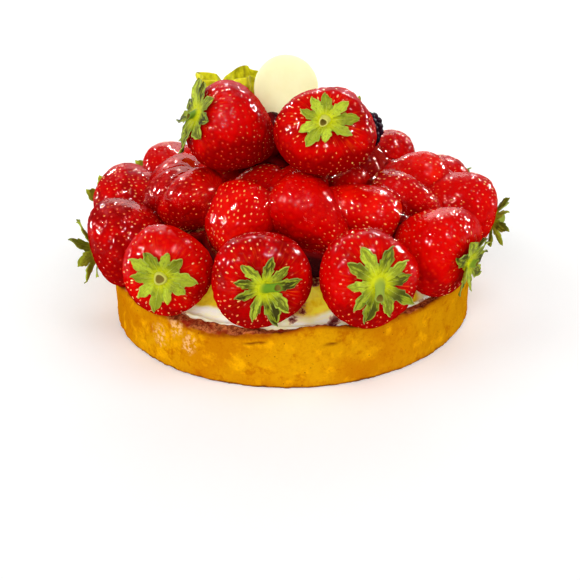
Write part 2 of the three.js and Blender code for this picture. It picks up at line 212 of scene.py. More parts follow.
def lattice(axes):
    """Every point of a grid from the places along its three axes."""
    return np.stack(np.meshgrid(*axes, indexing="ij"), -1)


# ---- meshes as points and quads


def grid_quads(index):
    """The quads between the rows and columns of a grid of point numbers."""
    return np.stack([index[:-1, :-1], index[1:, :-1], index[1:, 1:], index[:-1, 1:]], -1).reshape(-1, 4)


def loft(rows, first=None, last=None):
    """A skin over closed rows of points, with a pole at either end where one is given."""
    count, sides = rows.shape[:2]
    index = np.pad(np.arange(count * sides).reshape(count, sides), ((0, 0), (0, 1)), mode="wrap")
    pairs = np.stack([index[:, :-1], index[:, 1:]], -1)
    points, faces = [rows.reshape(-1, 3)], [grid_quads(index)[:, [0, 3, 2, 1]]]
    for pole, edge in ((first, pairs[0, :, ::-1]), (last, pairs[-1])):
        if pole is not None:
            number = count * sides + len(points) - 1
            points.append(np.reshape(pole, (1, 3)))
            faces.append(np.column_stack([edge, np.full(sides, number)]))
    return np.concatenate(points), faces


def plate(middle, thickness):
    """A closed sheet of even thickness round a grid of points."""
    normal = unit(np.cross(np.gradient(middle, axis=0), np.gradient(middle, axis=1)))
    total = middle[..., 0].size
    points = np.concatenate([(middle + normal * thickness * side).reshape(-1, 3) for side in (0.5, -0.5)])
    index = np.arange(total).reshape(middle.shape[:2])
    quads = grid_quads(index)
    edge = np.concatenate([index[:-1, 0], index[-1, :-1], index[:0:-1, -1], index[0, :0:-1]])
    onward = np.roll(edge, -1)
    rim = np.stack([edge, edge + total, onward + total, onward], -1)
    return points, [quads, quads[:, ::-1] + total, rim]


def join(parts):
    """Several (points, faces) as one."""
    points, faces, total = [], [], 0
    for part_points, part_faces in parts:
        points.append(part_points)
        faces.extend(face + total for face in part_faces)
        total += len(part_points)
    return np.concatenate(points), faces


def ball(cuts):
    """The directions and quads of a ball with nearly even faces, from the six sides of a cube."""
    steps = np.tan(np.linspace(-1, 1, cuts + 1) * math.pi / 4)
    u, v = np.meshgrid(steps, steps, indexing="ij")
    quads = grid_quads(np.arange(u.size).reshape(u.shape))
    points, faces = [], []
    for axis in range(3):
        for sign in (-1, 1):
            faces.append((quads if sign > 0 else quads[:, ::-1]) + len(points) * u.size)
            side = np.stack([np.full(u.size, float(sign)), u.ravel(), v.ravel()], -1)
            points.append(np.roll(side, axis, axis=1))
    kept, where = np.unique(np.round(unit(np.concatenate(points)), 6), axis=0, return_inverse=True)
    return unit(kept), where.ravel()[np.concatenate(faces)]


def normals(points, faces):
    """Vertex normals of a mesh."""
    total = np.zeros_like(points)
    for face in faces:
        slant = points[face[:, 2]] - points[face[:, 0]]
        cross = np.cross(slant, points[face[:, -1]] - points[face[:, 1]])
        for corner in range(face.shape[1]):
            for axis in range(3):
                total[:, axis] += np.bincount(face[:, corner], cross[:, axis], len(points))
    return unit(total)


def surface_net(values, origin, step):
    """The skin where a grid of values passes 0, with the negative side inside."""
    cells = tuple(length - 1 for length in values.shape)
    total = np.zeros(cells + (3,), np.float32)
    count = np.zeros(cells, np.float32)
    orders = ((0, 1, 2), (1, 0, 2), (1, 2, 0))  # puts an axis that was moved to the front back
    edges = []
    for axis, order in enumerate(orders):
        turned = np.moveaxis(values, axis, 0)
        before, after = turned[:-1], turned[1:]
        crossing = (before < 0) != (after < 0)
        share = np.where(crossing, before / np.where(crossing, before - after, 1), 0).astype(np.float32)
        edges.append((crossing, before < 0))
        for first, second in np.ndindex(2, 2):
            cut = (slice(None), slice(first, first + crossing.shape[1] - 1),
                   slice(second, second + crossing.shape[2] - 1))
            place = np.stack([share[cut], first * crossing[cut], second * crossing[cut]], -1)
            total += np.moveaxis(place, 0, axis)[..., order]
            count += np.moveaxis(crossing[cut], 0, axis)
    used = count > 0
    number = np.full(cells, -1, np.int64)
    number[used] = np.arange(used.sum())
    points = np.argwhere(used) + total[used] / count[used][:, None]
    quads = []
    for axis, (crossing, inside) in enumerate(edges):
        spots = np.argwhere(crossing[:, 1:-1, 1:-1]) + (0, 1, 1)
        around = ((0, 1, 1), (0, 0, 1), (0, 0, 0), (0, 1, 0))
        quad = np.stack([number[tuple((spots - corner)[:, orders[axis]].T)] for corner in around], -1)
        flip = inside[tuple(spots.T)] != (axis == 1)
        quads.append(np.where(flip[:, None], quad, quad[:, ::-1]))
    return np.asarray(origin) + points * step, [np.concatenate(quads)]


def put(name, data):
    """A new object in the scene."""
    made = bpy.data.objects.new(name, data)
    bpy.context.scene.collection.objects.link(made)
    return made


def add_piece(name, points, faces, material, slot, replaces=(), **attributes):
    """A mesh object of the tart. An attribute is one number or one vector for each point."""
    mesh = bpy.data.meshes.new(name)
    mesh.from_pydata((points * MM).tolist(), [], [face for group in faces for face in group.tolist()])
    mesh.validate()
    mesh.polygons.foreach_set("use_smooth", np.ones(len(mesh.polygons), bool))
    for key, values in attributes.items():
        values = np.asarray(values, np.float32)
        kind, field = ("FLOAT", "value") if values.ndim == 1 else ("FLOAT_VECTOR", "vector")
        mesh.attributes.new(key, kind, "POINT").data.foreach_set(field, values.ravel())
    mesh.materials.append(material)
    piece = put(name, mesh)
    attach(piece, "root")
    if replaces:
        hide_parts(*replaces)


# ---- materials


def srgb(red, green, blue):
    """A colour given as 0 to 255 on a screen, as the linear values that shaders take."""
    return tuple((c / 255 / 12.92 if c <= 10 else ((c / 255 + 0.055) / 1.055) ** 2.4)
                 for c in (red, green, blue)) + (1.0,)


def add_node(tree, kind, inputs=(), **settings):
    """A node of a shader; an input is an output of another node or a constant."""
    made = tree.nodes.new(kind)
    for key, value in settings.items():
        setattr(made, key, value)
    for key, value in dict(inputs).items():
        if isinstance(value, bpy.types.NodeSocket):
            tree.links.new(value, made.inputs[key])
        else:
            made.inputs[key].default_value = value
    return made


GLOSS_IOR = 1.2
GLOSS_ROUGHNESS = 0.02


class Shader:
    """One material's nodes. Each method but node and finish gives an output socket."""

    def __init__(self, name):
        self.material = bpy.data.materials.new(name)
        self.material.use_nodes = True
        self.tree = self.material.node_tree
        self.tree.nodes.clear()
        self.place = self.node("ShaderNodeTexCoord").outputs["Object"]

    def node(self, kind, inputs=(), **settings):
        return add_node(self.tree, kind, inputs, **settings)

    def attribute(self, name, field="Fac"):
        return self.node("ShaderNodeAttribute", attribute_name=name).outputs[field]

    def noise(self, size, detail=3, vector=None, rough=0.55):
        """Noise from 0 to 1; size is in mm, or in the vector's own units where one is given."""
        inputs = {"Scale": (1 if vector else 1 / MM) / size, "Detail": detail, "Roughness": rough,
                  "Vector": vector or self.place}
        return self.node("ShaderNodeTexNoise", inputs).outputs["Fac"]

    def cells(self, size):
        """The distance to the middle of the nearest cell of a pattern, in cells."""
        inputs = {"Scale": 1 / MM / size, "Vector": self.place}
        return self.node("ShaderNodeTexVoronoi", inputs).outputs["Distance"]

    def span(self, value, low, high, to_low=0.0, to_high=1.0):
        """A soft step from to_low, where the value is low, to to_high, where it is high."""
        inputs = {"Value": value, "From Min": low, "From Max": high, "To Min": to_low, "To Max": to_high}
        return self.node("ShaderNodeMapRange", inputs, interpolation_type="SMOOTHSTEP").outputs["Result"]

    def uneven(self, size, low=0.0, high=1.0):
        """A value that wanders from low to high in patches of this size in mm."""
        return self.span(self.noise(size), 0.3, 0.7, low, high)

    def times(self, *values):
        """The product of some outputs or constants."""
        product = values[0]
        for value in values[1:]:
            product = self.maths("MULTIPLY", product, value)
        return product

    def maths(self, operation, first, second=0.0):
        return self.node("ShaderNodeMath", {0: first, 1: second}, operation=operation).outputs[0]

    def mix(self, share, first, second):
        """A blend of two colours; each is an output, or a screen colour from 0 to 255."""
        first, second = (srgb(*c) if isinstance(c, tuple) else c for c in (first, second))
        return self.node("ShaderNodeMix", {0: share, 6: first, 7: second}, data_type="RGBA").outputs[2]

    def cover(self, colour, *coats):
        """A colour with others over it in turn; a coat is its share and its colour."""
        for share, over in coats:
            colour = self.mix(share, colour, over)
        return colour

    def bump(self, height, depth, below=None):
        """depth is the real height in mm of a step from 0 to 1."""
        inputs = {"Height": height, "Distance": depth * MM, "Strength": 1.0}
        if below:
            inputs["Normal"] = below
        return self.node("ShaderNodeBump", inputs).outputs["Normal"]

    def even_normal(self, share):
        """The normal of the even glaze over a skin, with this share of the skin's own normal."""
        even = self.node("ShaderNodeVectorTransform", {"Vector": self.attribute("even", "Vector")},
                         vector_type="NORMAL", convert_from="OBJECT", convert_to="WORLD").outputs[0]
        own = self.node("ShaderNodeNewGeometry").outputs["Normal"]
        return self.node("ShaderNodeMix", {0: share, 4: even, 5: own}, data_type="VECTOR").outputs[1]

    def principled(self, **inputs):
        """inputs are named as the shader's sockets are, with _ for a space."""
        named = {key.replace("_", " "): value for key, value in inputs.items()}
        return self.node("ShaderNodeBsdfPrincipled", named).outputs["BSDF"]

    def glossed(self, below, normal, most=0.02):
        """A wet gloss over a surface, thinner on its underside; most limits what it mirrors edge on."""
        gloss = {"Color": (1, 1, 1, 1), "Roughness": GLOSS_ROUGHNESS, "Normal": normal}
        gloss = self.node("ShaderNodeBsdfGlossy", gloss).outputs[0]
        share = self.node("ShaderNodeFresnel", {"IOR": GLOSS_IOR, "Normal": normal}).outputs[0]
        up = self.node("ShaderNodeSeparateXYZ", {0: normal}).outputs["Z"]
        share = self.times(self.maths("MINIMUM", share, most), self.span(up, 0.02, 0.3, 0.1, 1))
        return self.node("ShaderNodeMixShader", {0: share, 1: below, 2: gloss}).outputs[0]

    def finish(self, surface):
        self.node("ShaderNodeOutputMaterial", {"Surface": surface})
        return self.material


def strawberry_material():
    s = Shader("strawberry_skin")
    pit = s.attribute("pit")
    streaks = s.noise(0.055, 3, s.attribute("fruit", "Vector"))
    # ripe_and_shade: the ripeness tone, which also carries painted shade that darkens each berry's underside
    ripe_and_shade = s.maths("ADD", s.attribute("tone"), s.uneven(9, -0.35, 0.35))
    sheen_patches = s.span(s.noise(3.6, 4, rough=0.6), 0.44, 0.62)
    flesh = s.cover(
        s.mix(s.span(ripe_and_shade, -0.8, 0.1), (146, 1, 2), (202, 2, 1)),
        (s.span(ripe_and_shade, 0.1, 1.1), (232, 22, 2)),
        # pale orange streaks by the stalk; the shoulder attribute keeps them to the side where light falls,
        # which is painted light
        (s.times(s.span(streaks, 0.5, 0.8, 0, 0.8), s.attribute("shoulder")), (236, 84, 12)),
        # whitish film: cloudy jelly, painted lighter as a reflection of the pale sky on the berries' upper
        # sides
        (s.times(s.attribute("film"), sheen_patches, 0.3), (200, 84, 88)),
        (s.times(s.span(pit, 0.3, 0.9), 0.3), (228, 44, 8)))
    grain = s.bump(s.noise(0.9, 2), 0.05)
    ripple = s.bump(s.noise(5, 1), 0.02, s.even_normal(s.span(pit, 0.1, 0.6, 0.3, 0.55)))
    shade = s.principled(
        Base_Color=flesh, Roughness=s.uneven(5, 0.4, 0.55), Normal=grain, IOR=1.36,
        Specular_IOR_Level=0.0, Subsurface_Weight=0.08, Subsurface_Radius=(1.0, 0.12, 0.06),
        Subsurface_Scale=0.0025)
    return s.finish(s.glossed(shade, ripple))


def seed_material():
    s = Shader("strawberry_seed")
    shade = s.attribute("shade")
    colour = s.mix(s.span(shade, 0, 0.5), (206, 52, 26), (232, 136, 62))
    colour = s.mix(s.span(shade, 0.5, 1), colour, (250, 208, 104))
    return s.finish(s.principled(
        Base_Color=colour, Roughness=s.uneven(1.5, 0.25, 0.45), IOR=1.4,
        Coat_Weight=0.8, Coat_Roughness=0.06))


def leaf_material():
    s = Shader("strawberry_leaf")
    length, vein, age, tint, cut = (s.attribute(name) for name in ("length", "vein", "age", "tint", "cut"))
    grain = s.attribute("grain", "Vector")
    old = s.maths("ADD", age, s.span(tint, -1, 1, 0.2, -0.25))
    withered = s.times(old, s.span(length, 0.15, 0.6), s.span(s.noise(0.7, 4, grain), 0.38, 0.56))
    green = s.cover(
        s.mix(s.span(tint, -1, 1), (132, 146, 22), (190, 208, 54)),
        (s.span(s.noise(0.3, 3, grain), 0.4, 0.62, 0, 0.7), (158, 164, 48)),
        (s.span(length, 0.1, 0.5, 0.9, 0), (196, 200, 14)),
        (s.span(s.noise(1.1), 0.5, 0.75, 0, 0.5), (84, 100, 14)),
        (withered, (56, 54, 12)),
        (s.times(s.span(vein, 0.5, 1), 0.4), (206, 212, 112)),
        # painted highlight: a paler line along each leaf's outline, where light catches its edge
        (s.span(s.attribute("border"), 0.6, 1, 0, 0.4), (176, 200, 96)),
        (s.span(cut, 0.02, 0.1), s.mix(age, (214, 208, 96), (84, 132, 14))),
        (s.span(cut, 0.3, 0.9), (116, 98, 32)))
    down = s.bump(s.noise(0.5, 2), 0.05, s.bump(vein, 0.12))
    return s.finish(s.principled(
        Base_Color=green, Roughness=s.uneven(2, 0.5, 0.7), Normal=down, IOR=1.4,
        Specular_IOR_Level=0.05))


def crust_material():
    s = Shader("baked_crust")
    golden = s.cover(
        s.mix(s.span(s.noise(24), 0.36, 0.66), (192, 120, 3), (210, 150, 6)),
        (s.span(s.noise(8, 4, rough=0.6), 0.5, 0.7, 0, 0.85), (232, 168, 6)),
        (s.span(s.noise(5.5, 4, rough=0.7), 0.5, 0.72, 0, 0.75), (174, 88, 0)),
        (s.span(s.noise(1.1, 3, rough=0.7), 0.46, 0.7, 0, 0.35), (180, 92, 3)),
        (s.times(s.attribute("edge"), s.span(s.noise(4, 4), 0.3, 0.6, 0.3, 1)), (160, 78, 6)),
        (s.times(s.attribute("flour"), s.span(s.noise(1.8, 4, rough=0.6), 0.45, 0.6), 0.8), (236, 184, 118)),
        (s.times(s.span(s.cells(2.3), 0.08, 0.16, 0.8, 0), s.span(s.noise(5), 0.5, 0.62)), (110, 50, 8)),
        (s.attribute("crack"), (120, 54, 6)),
        (s.attribute("foot"), (104, 50, 8)))
    crumb = s.mix(s.span(s.noise(1.6, 4, rough=0.7), 0.38, 0.62), (120, 46, 22), (206, 118, 66))
    crumb = s.mix(s.span(s.noise(7), 0.5, 0.7), crumb, (160, 44, 22))
    relief = s.bump(s.noise(0.6, 3, rough=0.75), 0.1, s.bump(s.noise(2.6, 4, rough=0.7), 0.25))
    return s.finish(s.principled(
        Base_Color=s.mix(s.attribute("inside"), golden, crumb), Roughness=s.uneven(2.5, 0.55, 0.8),
        Normal=relief, IOR=1.45, Specular_IOR_Level=0.0))


def cream_material():
    s = Shader("cream_and_custard")
    custard = s.attribute("custard")
    smear = s.attribute("smear", "Vector")
    white = s.mix(s.span(s.noise(2.4, 4, smear), 0.38, 0.66), (252, 255, 236), (246, 240, 184))
    yellow = s.mix(s.uneven(5), (222, 178, 0), (244, 222, 50))
    stain = s.maths("ADD", s.attribute("jam"), s.span(s.noise(2.4, 4, rough=0.65), 0.3, 0.7, -0.5, 0.2))
    colour = s.cover(
        s.mix(custard, white, yellow),
        (s.times(s.attribute("shore"), s.span(s.noise(1.3, 4, smear), 0.54, 0.6)), (176, 104, 54)),
        (s.span(stain, 0.22, 0.6, 0, 0.8), (168, 84, 74)),
        (s.span(stain, 0.45, 0.9), (90, 8, 10)))
    relief = s.bump(s.noise(1.5), 0.12, s.bump(s.noise(5), 0.3))
    # painted light: the cream and custard glow faintly in their own colour, which brightens them where the
    # berries shade them
    return s.finish(s.principled(
        Base_Color=colour, Roughness=s.span(custard, 0, 1, 0.42, 0.22), Normal=relief, IOR=1.4,
        Subsurface_Weight=0.2, Subsurface_Radius=(1.0, 0.7, 0.4), Subsurface_Scale=0.002,
        Coat_Weight=0.3, Coat_Roughness=0.1, Emission_Color=colour, Emission_Strength=0.2))


def glaze_material():
    s = Shader("fruit_glaze")
    depth = s.attribute("depth")
    # The jelly is darker red where it lies further from the berries' skins, as thick jelly is, and near
    # black at its deepest: painted shade for the hollows between and under the berries
    jelly = s.mix(s.span(depth, 0.8, 3), (236, 6, 4), (110, 1, 3))
    jelly = s.mix(s.span(depth, 3, 6), jelly, (58, 0, 2))
    ripple = s.bump(s.noise(4, 1), 0.05, s.bump(s.noise(9), 0.3))
    clear = s.node("ShaderNodeBsdfTransparent", {"Color": (1.0, 0.8, 0.75, 1)}).outputs[0]
    thick = s.principled(Base_Color=jelly, Roughness=0.2, Specular_IOR_Level=0.0, Normal=ripple)
    body = s.span(depth, 0.6, 3.2, 0, 0.95)
    inner = s.node("ShaderNodeMixShader", {0: body, 1: clear, 2: thick}).outputs[0]
    return s.finish(s.glossed(inner, ripple, 0.025))


def disc_material():
    s = Shader("white_chocolate")
    colour = s.mix(s.uneven(8), (250, 252, 196), (247, 248, 188))
    relief = s.bump(s.noise(1.6), 0.03, s.bump(s.noise(7), 0.12))
    return s.finish(s.principled(
        Base_Color=colour, Roughness=s.uneven(5, 0.36, 0.48), Normal=relief, IOR=1.45,
        Subsurface_Weight=0.15, Subsurface_Radius=(1.0, 0.8, 0.5), Subsurface_Scale=0.002))


def shiny_skin(name, patches, low, high, grain, roughness):
    """patches: size and noise where the colour turns; grain: size and depth; roughness: size and ends."""
    s = Shader(name)
    colour = s.mix(s.span(s.noise(patches[0]), *patches[1:]), low, high)
    relief = s.bump(s.noise(grain[0]), grain[1])
    shade = s.principled(Base_Color=colour, Roughness=s.uneven(*roughness), Normal=relief,
                         IOR=1.4, Specular_IOR_Level=0.0)
    return s.finish(s.glossed(shade, relief))


def dark_berry_material():
    return shiny_skin(
        "dark_berry_skin", (4, 0.35, 0.65), (14, 8, 16), (46, 10, 26), (0.8, 0.03), (2, 0.35, 0.5))


def gooseberry_material():
    return shiny_skin(
        "gooseberry_skin", (5, 0.3, 0.7), (222, 112, 4), (240, 146, 14), (1, 0.02), (3, 0.4, 0.5))


def husk_material():
    s = Shader("gooseberry_husk")
    vein = s.attribute("vein")
    colour = s.mix(s.span(s.noise(5, 4), 0.35, 0.68), (236, 230, 38), (176, 168, 20))
    colour = s.mix(s.times(s.span(vein, 0.3, 1), 0.5), colour, (120, 100, 30))
    relief = s.bump(s.noise(0.9), 0.12, s.bump(vein, 0.35))
    return s.finish(s.principled(
        Base_Color=colour, Roughness=s.uneven(3, 0.5, 0.7), Normal=relief, IOR=1.4,
        Specular_IOR_Level=0.05))


# ---- strawberries

SKIN = strawberry_material()
SEED = seed_material()
LEAF = leaf_material()

SEED_SPACING = 3.1
SEED_CELL = 0.87  # area of a seed's share of the skin, in spacings squared
BARE_SHOULDER = 0.36  # radians round the stalk that have no seeds
SEED_SIZE = (1.0, 0.56, 0.42)  # length, width, height
PIT_DEPTH = 0.5
PIT_WIDTH = 0.9
BALL_CUTS = {"ring": 58, "bank": 46, "high": 38, "top": 62}  # fineness of the skins
RING_SPLIT = 20  # the ring's seeds are two pieces, in front of and behind this y

# berries whose seeds are brighter and larger than most, or (below 0) duller and smaller
SEED_LOOKS = {
    "ring_01": -0.15, "ring_02": 0.2, "ring_03": -0.12, "ring_04": 0.1, "ring_13": 0.2,
    "bank_01": -0.2, "bank_02": -0.2, "bank_03": 0.15, "bank_04": 0.5, "bank_05": -0.2, "bank_06": 0.35,
    "high_02": -0.2, "top_01": -0.25,
}

# ripeness of the berries whose colour stands out: -1 is dark red and 1 is orange red
TONES = {
    "ring_01": -0.5, "ring_02": 0.25, "ring_03": -0.3, "ring_04": -0.05, "ring_05": 0.2, "ring_06": 0.1,
    "bank_01": -0.3, "bank_02": -0.4, "bank_03": -0.3, "bank_04": 0.35, "bank_05": 0.15, "bank_06": 0.5,
    "bank_08": 0.6, "high_01": 0.4, "high_02": 0.3, "high_03": -0.3, "high_04": -0.9,
    "top_01": -0.05, "top_02": -0.2,
}

# where a cloudy whitish film lies on a berry, painted lighter as a reflection of the pale sky on its upper
# side: the direction that it faces, and its edge, which is the least cosine between that and the skin's
# normal
SHEEN_FILMS = {
    "top_01": ((-0.05, -0.1, 1), 0.72), "top_02": ((0.8, 0.1, 0.6), 0.84),
    "ring_01": ((-0.1, 0.1, 1), 0.75), "ring_02": ((-0.7, -0.1, 0.7), 0.86),
    "ring_05": ((0.4, 0.2, 0.9), 0.8), "ring_06": ((0, 0.1, 1), 0.85), "ring_07": ((0, 0, 1), 0.75),
    "ring_12": ((0, 0, 1), 0.7), "ring_13": ((-0.1, 0.2, 1), 0.7),
    "bank_01": ((-0.4, 0.2, 0.9), 0.6), "bank_02": ((-0.5, 0.2, 0.85), 0.7),
    "bank_03": ((-0.6, 0.1, 0.8), 0.75), "bank_08": ((0, 0.1, 1), 0.62),
    "bank_09": ((0, 0.1, 1), 0.6), "bank_10": ((0, 0, 1), 0.66),
}
NO_SHEEN_FILM = 2


class Berry:
    """A strawberry's form, as in the solids: phi runs from the tip (0) to the stalk (pi)."""

    def __init__(self, name, x, y, z, width, height, length, azimuth, elevation, taper, seed):
        self.name, self.seed, self.taper = name, seed, taper
        self.kind = name.split("_")[0]
        self.centre = np.array([x, y, z], float)
        self.half = np.array([length, width, height]) / 2
        self.axis = toward(azimuth, elevation)
        self.side, self.up = basis(self.axis)
        draw = stream(seed)
        self.lobes = [(n, LOBE * (0.3 + 0.9 * draw()) / math.sqrt(n), TAU * draw()) for n in (2, 3, 4)]
        self.fullest = 1 + taper**2 * 0.55

    def lobe(self, theta):
        return sum(size * np.cos(n * theta + turn) for n, size, turn in self.lobes)

    def skin(self, phi, theta, grow=0):
        length, width, height = self.half + grow
        reach = np.sin(phi) * (1 - self.taper * np.cos(phi)) / self.fullest
        reach = reach * (1 + self.lobe(theta) * np.sin(phi))
        dimple = SHOULDER_DIMPLE * np.exp(-(((math.pi - phi) / SHOULDER_SPREAD) ** 2))
        along = -length * np.cos(phi) - dimple
        return (self.centre + along[..., None] * self.axis
                + (width * reach * np.cos(theta))[..., None] * self.side
                + (height * reach * np.sin(theta))[..., None] * self.up)

    def outward(self, phi, theta):
        """The skin's normal, from two short steps along it."""
        here = self.skin(phi, theta)
        ahead = self.skin(phi + 0.01, theta) - here
        beside = self.skin(phi, theta + 0.01) - here
        return unit(np.cross(beside, ahead))

    def share(self, points, grow=0):
        """Under 1 inside the berry, or the berry grown by some millimetres, and over 1 outside it."""
        length, width, height = self.half + grow
        away = points - self.centre
        along = away @ self.axis / length
        side = away @ self.side / width
        up = away @ self.up / height
        x = np.clip(along, -1.15, 1.15)
        swell = (1 + self.taper * x) / self.fullest
        swell = swell * (1 + self.lobe(np.arctan2(up, side)) * np.sqrt(np.maximum(0, 1 - x * x)))
        return np.sqrt(along**2 + (side**2 + up**2) / swell**2)

    def distance(self, points):
        """About how far points are outside the skin, and negative inside."""
        far = np.linalg.norm(points - self.centre, axis=-1)
        return far * (1 - 1 / np.maximum(self.share(points), 1e-3))

    def seeds(self):
        """phi and theta of each seed, in even spirals over the area of an ellipsoid."""
        length, width, height = self.half**1.6
        area = 4 * math.pi * ((length * width + length * height + width * height) / 3) ** (1 / 1.6)
        count = round(area / (SEED_SPACING**2 * SEED_CELL))
        height, turn = spiral(count)
        wobble = np.random.default_rng(self.seed).normal(0, 0.035, (2, count))
        phi = np.arccos(height) + wobble[0]
        theta = turn + wobble[1] / np.maximum(np.sin(phi), 0.3)
        kept = (phi > 0.05) & (phi < math.pi - BARE_SHOULDER)
        return phi[kept], theta[kept]


berries = [Berry(*row) for row in BERRIES]


def nearest(points, spots):
    """The distance from each point to the closest spot, worked out in batches to save memory."""
    best = []
    for part in np.array_split(points, len(points) // 4000 + 1):
        square = (part**2).sum(1)[:, None] + (spots**2).sum(1) - 2 * part @ spots.T
        best.append(np.sqrt(np.maximum(square.min(1), 0)))
    return np.concatenate(best)


def sink(points, movable, berry, step, bottom):
    """Lowers the movable points that lie in a berry till they are out of it or at the bottom."""
    within = movable & (berry.share(points, GAP) < 1)
    while within.any():
        points[within, 2] -= step
        within &= (berry.share(points, GAP) < 1) & (points[:, 2] > bottom)


def press_back(points, berry, others):
    """Moves the points that lie in an earlier berry back to its skin, along lines from the centre."""
    for other in others:
        apart = np.linalg.norm(other.centre - berry.centre)
        if apart > 1.2 * (other.half.max() + berry.half.max()):
            continue
        within = other.share(points, GAP) < 1
        if not within.any():
            continue
        middle = berry.centre.copy()
        while other.share(middle, GAP + 1) < 1:
            middle += unit(berry.centre - other.centre)
        start = points[within] - middle
        low, high = np.zeros(len(start)), np.ones(len(start))
        for _ in range(18):  # halvings
            half = (low + high) / 2
            inside = other.share(middle + start * half[:, None], GAP) < 1
            high = np.where(inside, half, high)
            low = np.where(inside, low, half)
        points[within] = middle + start * low[:, None]
    return points


def grow_berry(berry, earlier):
    """A strawberry's skin with its pits and waves, pressed back where it meets an earlier berry."""
    directions, quads = ball(BALL_CUTS[berry.kind])
    phi = np.arccos(np.clip(-directions[:, 2], -1, 1))
    theta = np.arctan2(directions[:, 1], directions[:, 0])
    points = berry.skin(phi, theta)
    normal = normals(points, [quads])
    if (normal * (points - berry.centre)).sum() < 0:
        quads = quads[:, ::-1]
        normal = -normal
    far = nearest(points, berry.skin(*berry.seeds()))
    pit = np.exp(-((far / PIT_WIDTH) ** 2))
    deep = PIT_DEPTH * (0.75 + 0.35 * noise(points, 14, berry.seed))
    wave = 0.35 * noise(points, 11, berry.seed + 7) + 0.12 * noise(points, 4, berry.seed + 9)
    swell = 0.16 * smooth(0.9, 1.9, far)
    calm = 1 - smooth(math.pi - 0.4, math.pi - 0.2, phi)
    points = points + normal * ((wave + swell - deep * pit) * calm)[:, None]
    points = press_back(points, berry, earlier)
    tone = TONES.get(berry.name, 0.25 * math.sin(berry.seed * 2.3))
    facing, edge = SHEEN_FILMS.get(berry.name, ((0, 0, 1), NO_SHEEN_FILM))
    faced = normal @ unit(np.array(facing)) + 0.12 * noise(points, 6, 71)
    # painted light: lit is high where the skin faces up and towards +X, where the light falls, and the pale
    # shoulder streaks are kept to that side
    lit = smooth(-0.3, 0.6, normal[:, 2] + 0.5 * normal[:, 0])
    add_piece(
        f"strawberry_{berry.name}", points, [quads], SKIN, "strawberry",
        [f"strawberry_{berry.name}"], pit=pit, film=smooth(edge - 0.08, edge + 0.12, faced), even=normal,
        # painted shade: the tone is pulled down where the skin faces downwards, painting the undersides
        # darker
        tone=tone - 0.8 * (1 - smooth(-0.55, 0.3, normal[:, 2])),
        shoulder=smooth(2.1, 2.85, phi) * (0.25 + 0.75 * lit),
        fruit=np.stack([np.cos(theta), np.sin(theta), 0.12 * phi], -1))


def seed_parts(berry):
    """The seeds of a berry that no other berry covers: a drop in each pit."""
    phi, theta = berry.seeds()
    spots = berry.skin(phi, theta)
    open_air = spots[:, 2] > CREAM_LEVEL
    for other in berries:
        if other is not berry:
            open_air &= other.share(spots) > 1
    phi, theta, spots = phi[open_air], theta[open_air], spots[open_air]
    normal = berry.outward(phi, theta)
    forward = unit(berry.skin(phi + 0.01, theta) - spots)
    forward = unit(forward - normal * (forward * normal).sum(-1, keepdims=True))
    across = np.cross(normal, forward)
    shape, quads = ball(2)
    length, width, height = np.array(SEED_SIZE) / 2
    drop = shape * (length, width, height)
    drop[:, 1] *= 1 - 0.35 * shape[:, 0]
    chance = np.random.default_rng(berry.seed + 400)
    patch = 0.45 * noise(spots, 13, 81) + SEED_LOOKS.get(berry.name, 0)
    size = chance.uniform(0.68, 1.12, len(spots)) * (1 + 0.4 * patch)
    long = (size * (1 + 0.6 * smooth(2.0, 2.7, phi)))[:, None, None]
    size = size[:, None, None]
    sunk = spots - normal * (PIT_DEPTH * 0.62)
    points = (sunk[:, None] + long * drop[None, :, :1] * forward[:, None]
              + size * drop[None, :, 1:2] * across[:, None]
              + size * drop[None, :, 2:] * normal[:, None])
    count = len(shape)
    faces = (quads[None] + np.arange(len(spots))[:, None, None] * count).reshape(-1, 4)
    shade = np.clip(chance.uniform(-0.25, 0.8, len(spots)) + patch, 0, 1).repeat(count)
    return points.reshape(-1, 3), faces, shade


def scatter_seeds():
    """One piece of seeds for each group of berries."""
    groups = {}
    for berry in berries:
        group = berry.kind
        if group == "ring":
            group = "ring_front" if berry.centre[1] < RING_SPLIT else "ring_back"
        groups.setdefault(group, []).append(seed_parts(berry))
    for group, parts in groups.items():
        points, faces = join([(points, [faces]) for points, faces, _ in parts])
        add_piece(f"seeds_{group}", points, faces, SEED, "strawberry",
                  shade=np.concatenate([shade for _, _, shade in parts]))


# ---- leaves

LEAF_THICKNESS = 0.4
LEAF_ROWS, LEAF_COLUMNS = 32, 13
# radius and height of the stems that stand out, and how far they lean to the side and up
USUAL_STALK = (1.5, 1.6, 0.5, -0.4)
STALKS = {
    "ring_02": (2.3, 1, 0, 0), "ring_03": (1.7, 2.4, 4.5, 0.6), "ring_04": (1.8, 3.4, -1.6, -4.6),
    "ring_05": (1.8, 2.2, 0, 1), "ring_06": (2.6, 4, 0, 1),
    "top_01": (1.8, 2.8, 1.5, -2), "top_02": (1.8, 2.6, -0.8, -2.2),
}
# how old and brown the leaves are, from 0 to 1
USUAL_AGE = 0.25
AGED = {
    "ring_01": 0.5, "ring_03": 0.95, "ring_04": 0.7, "ring_05": 0.8, "ring_06": 0.6,
    "top_01": 0.9, "top_02": 0.15,
}
# distance along the cut stem, width there and how brown it is, from the hub to the hollow in its end
STEM = [
    (0, 1.15, 0.05), (0.35, 0.95, 0.1), (0.85, 0.95, 0.15), (1, 1, 0.2),
    (1.04, 0.85, 0.3), (0.98, 0.66, 0.8), (0.7, 0.5, 1), (0.5, 0.25, 1),
]


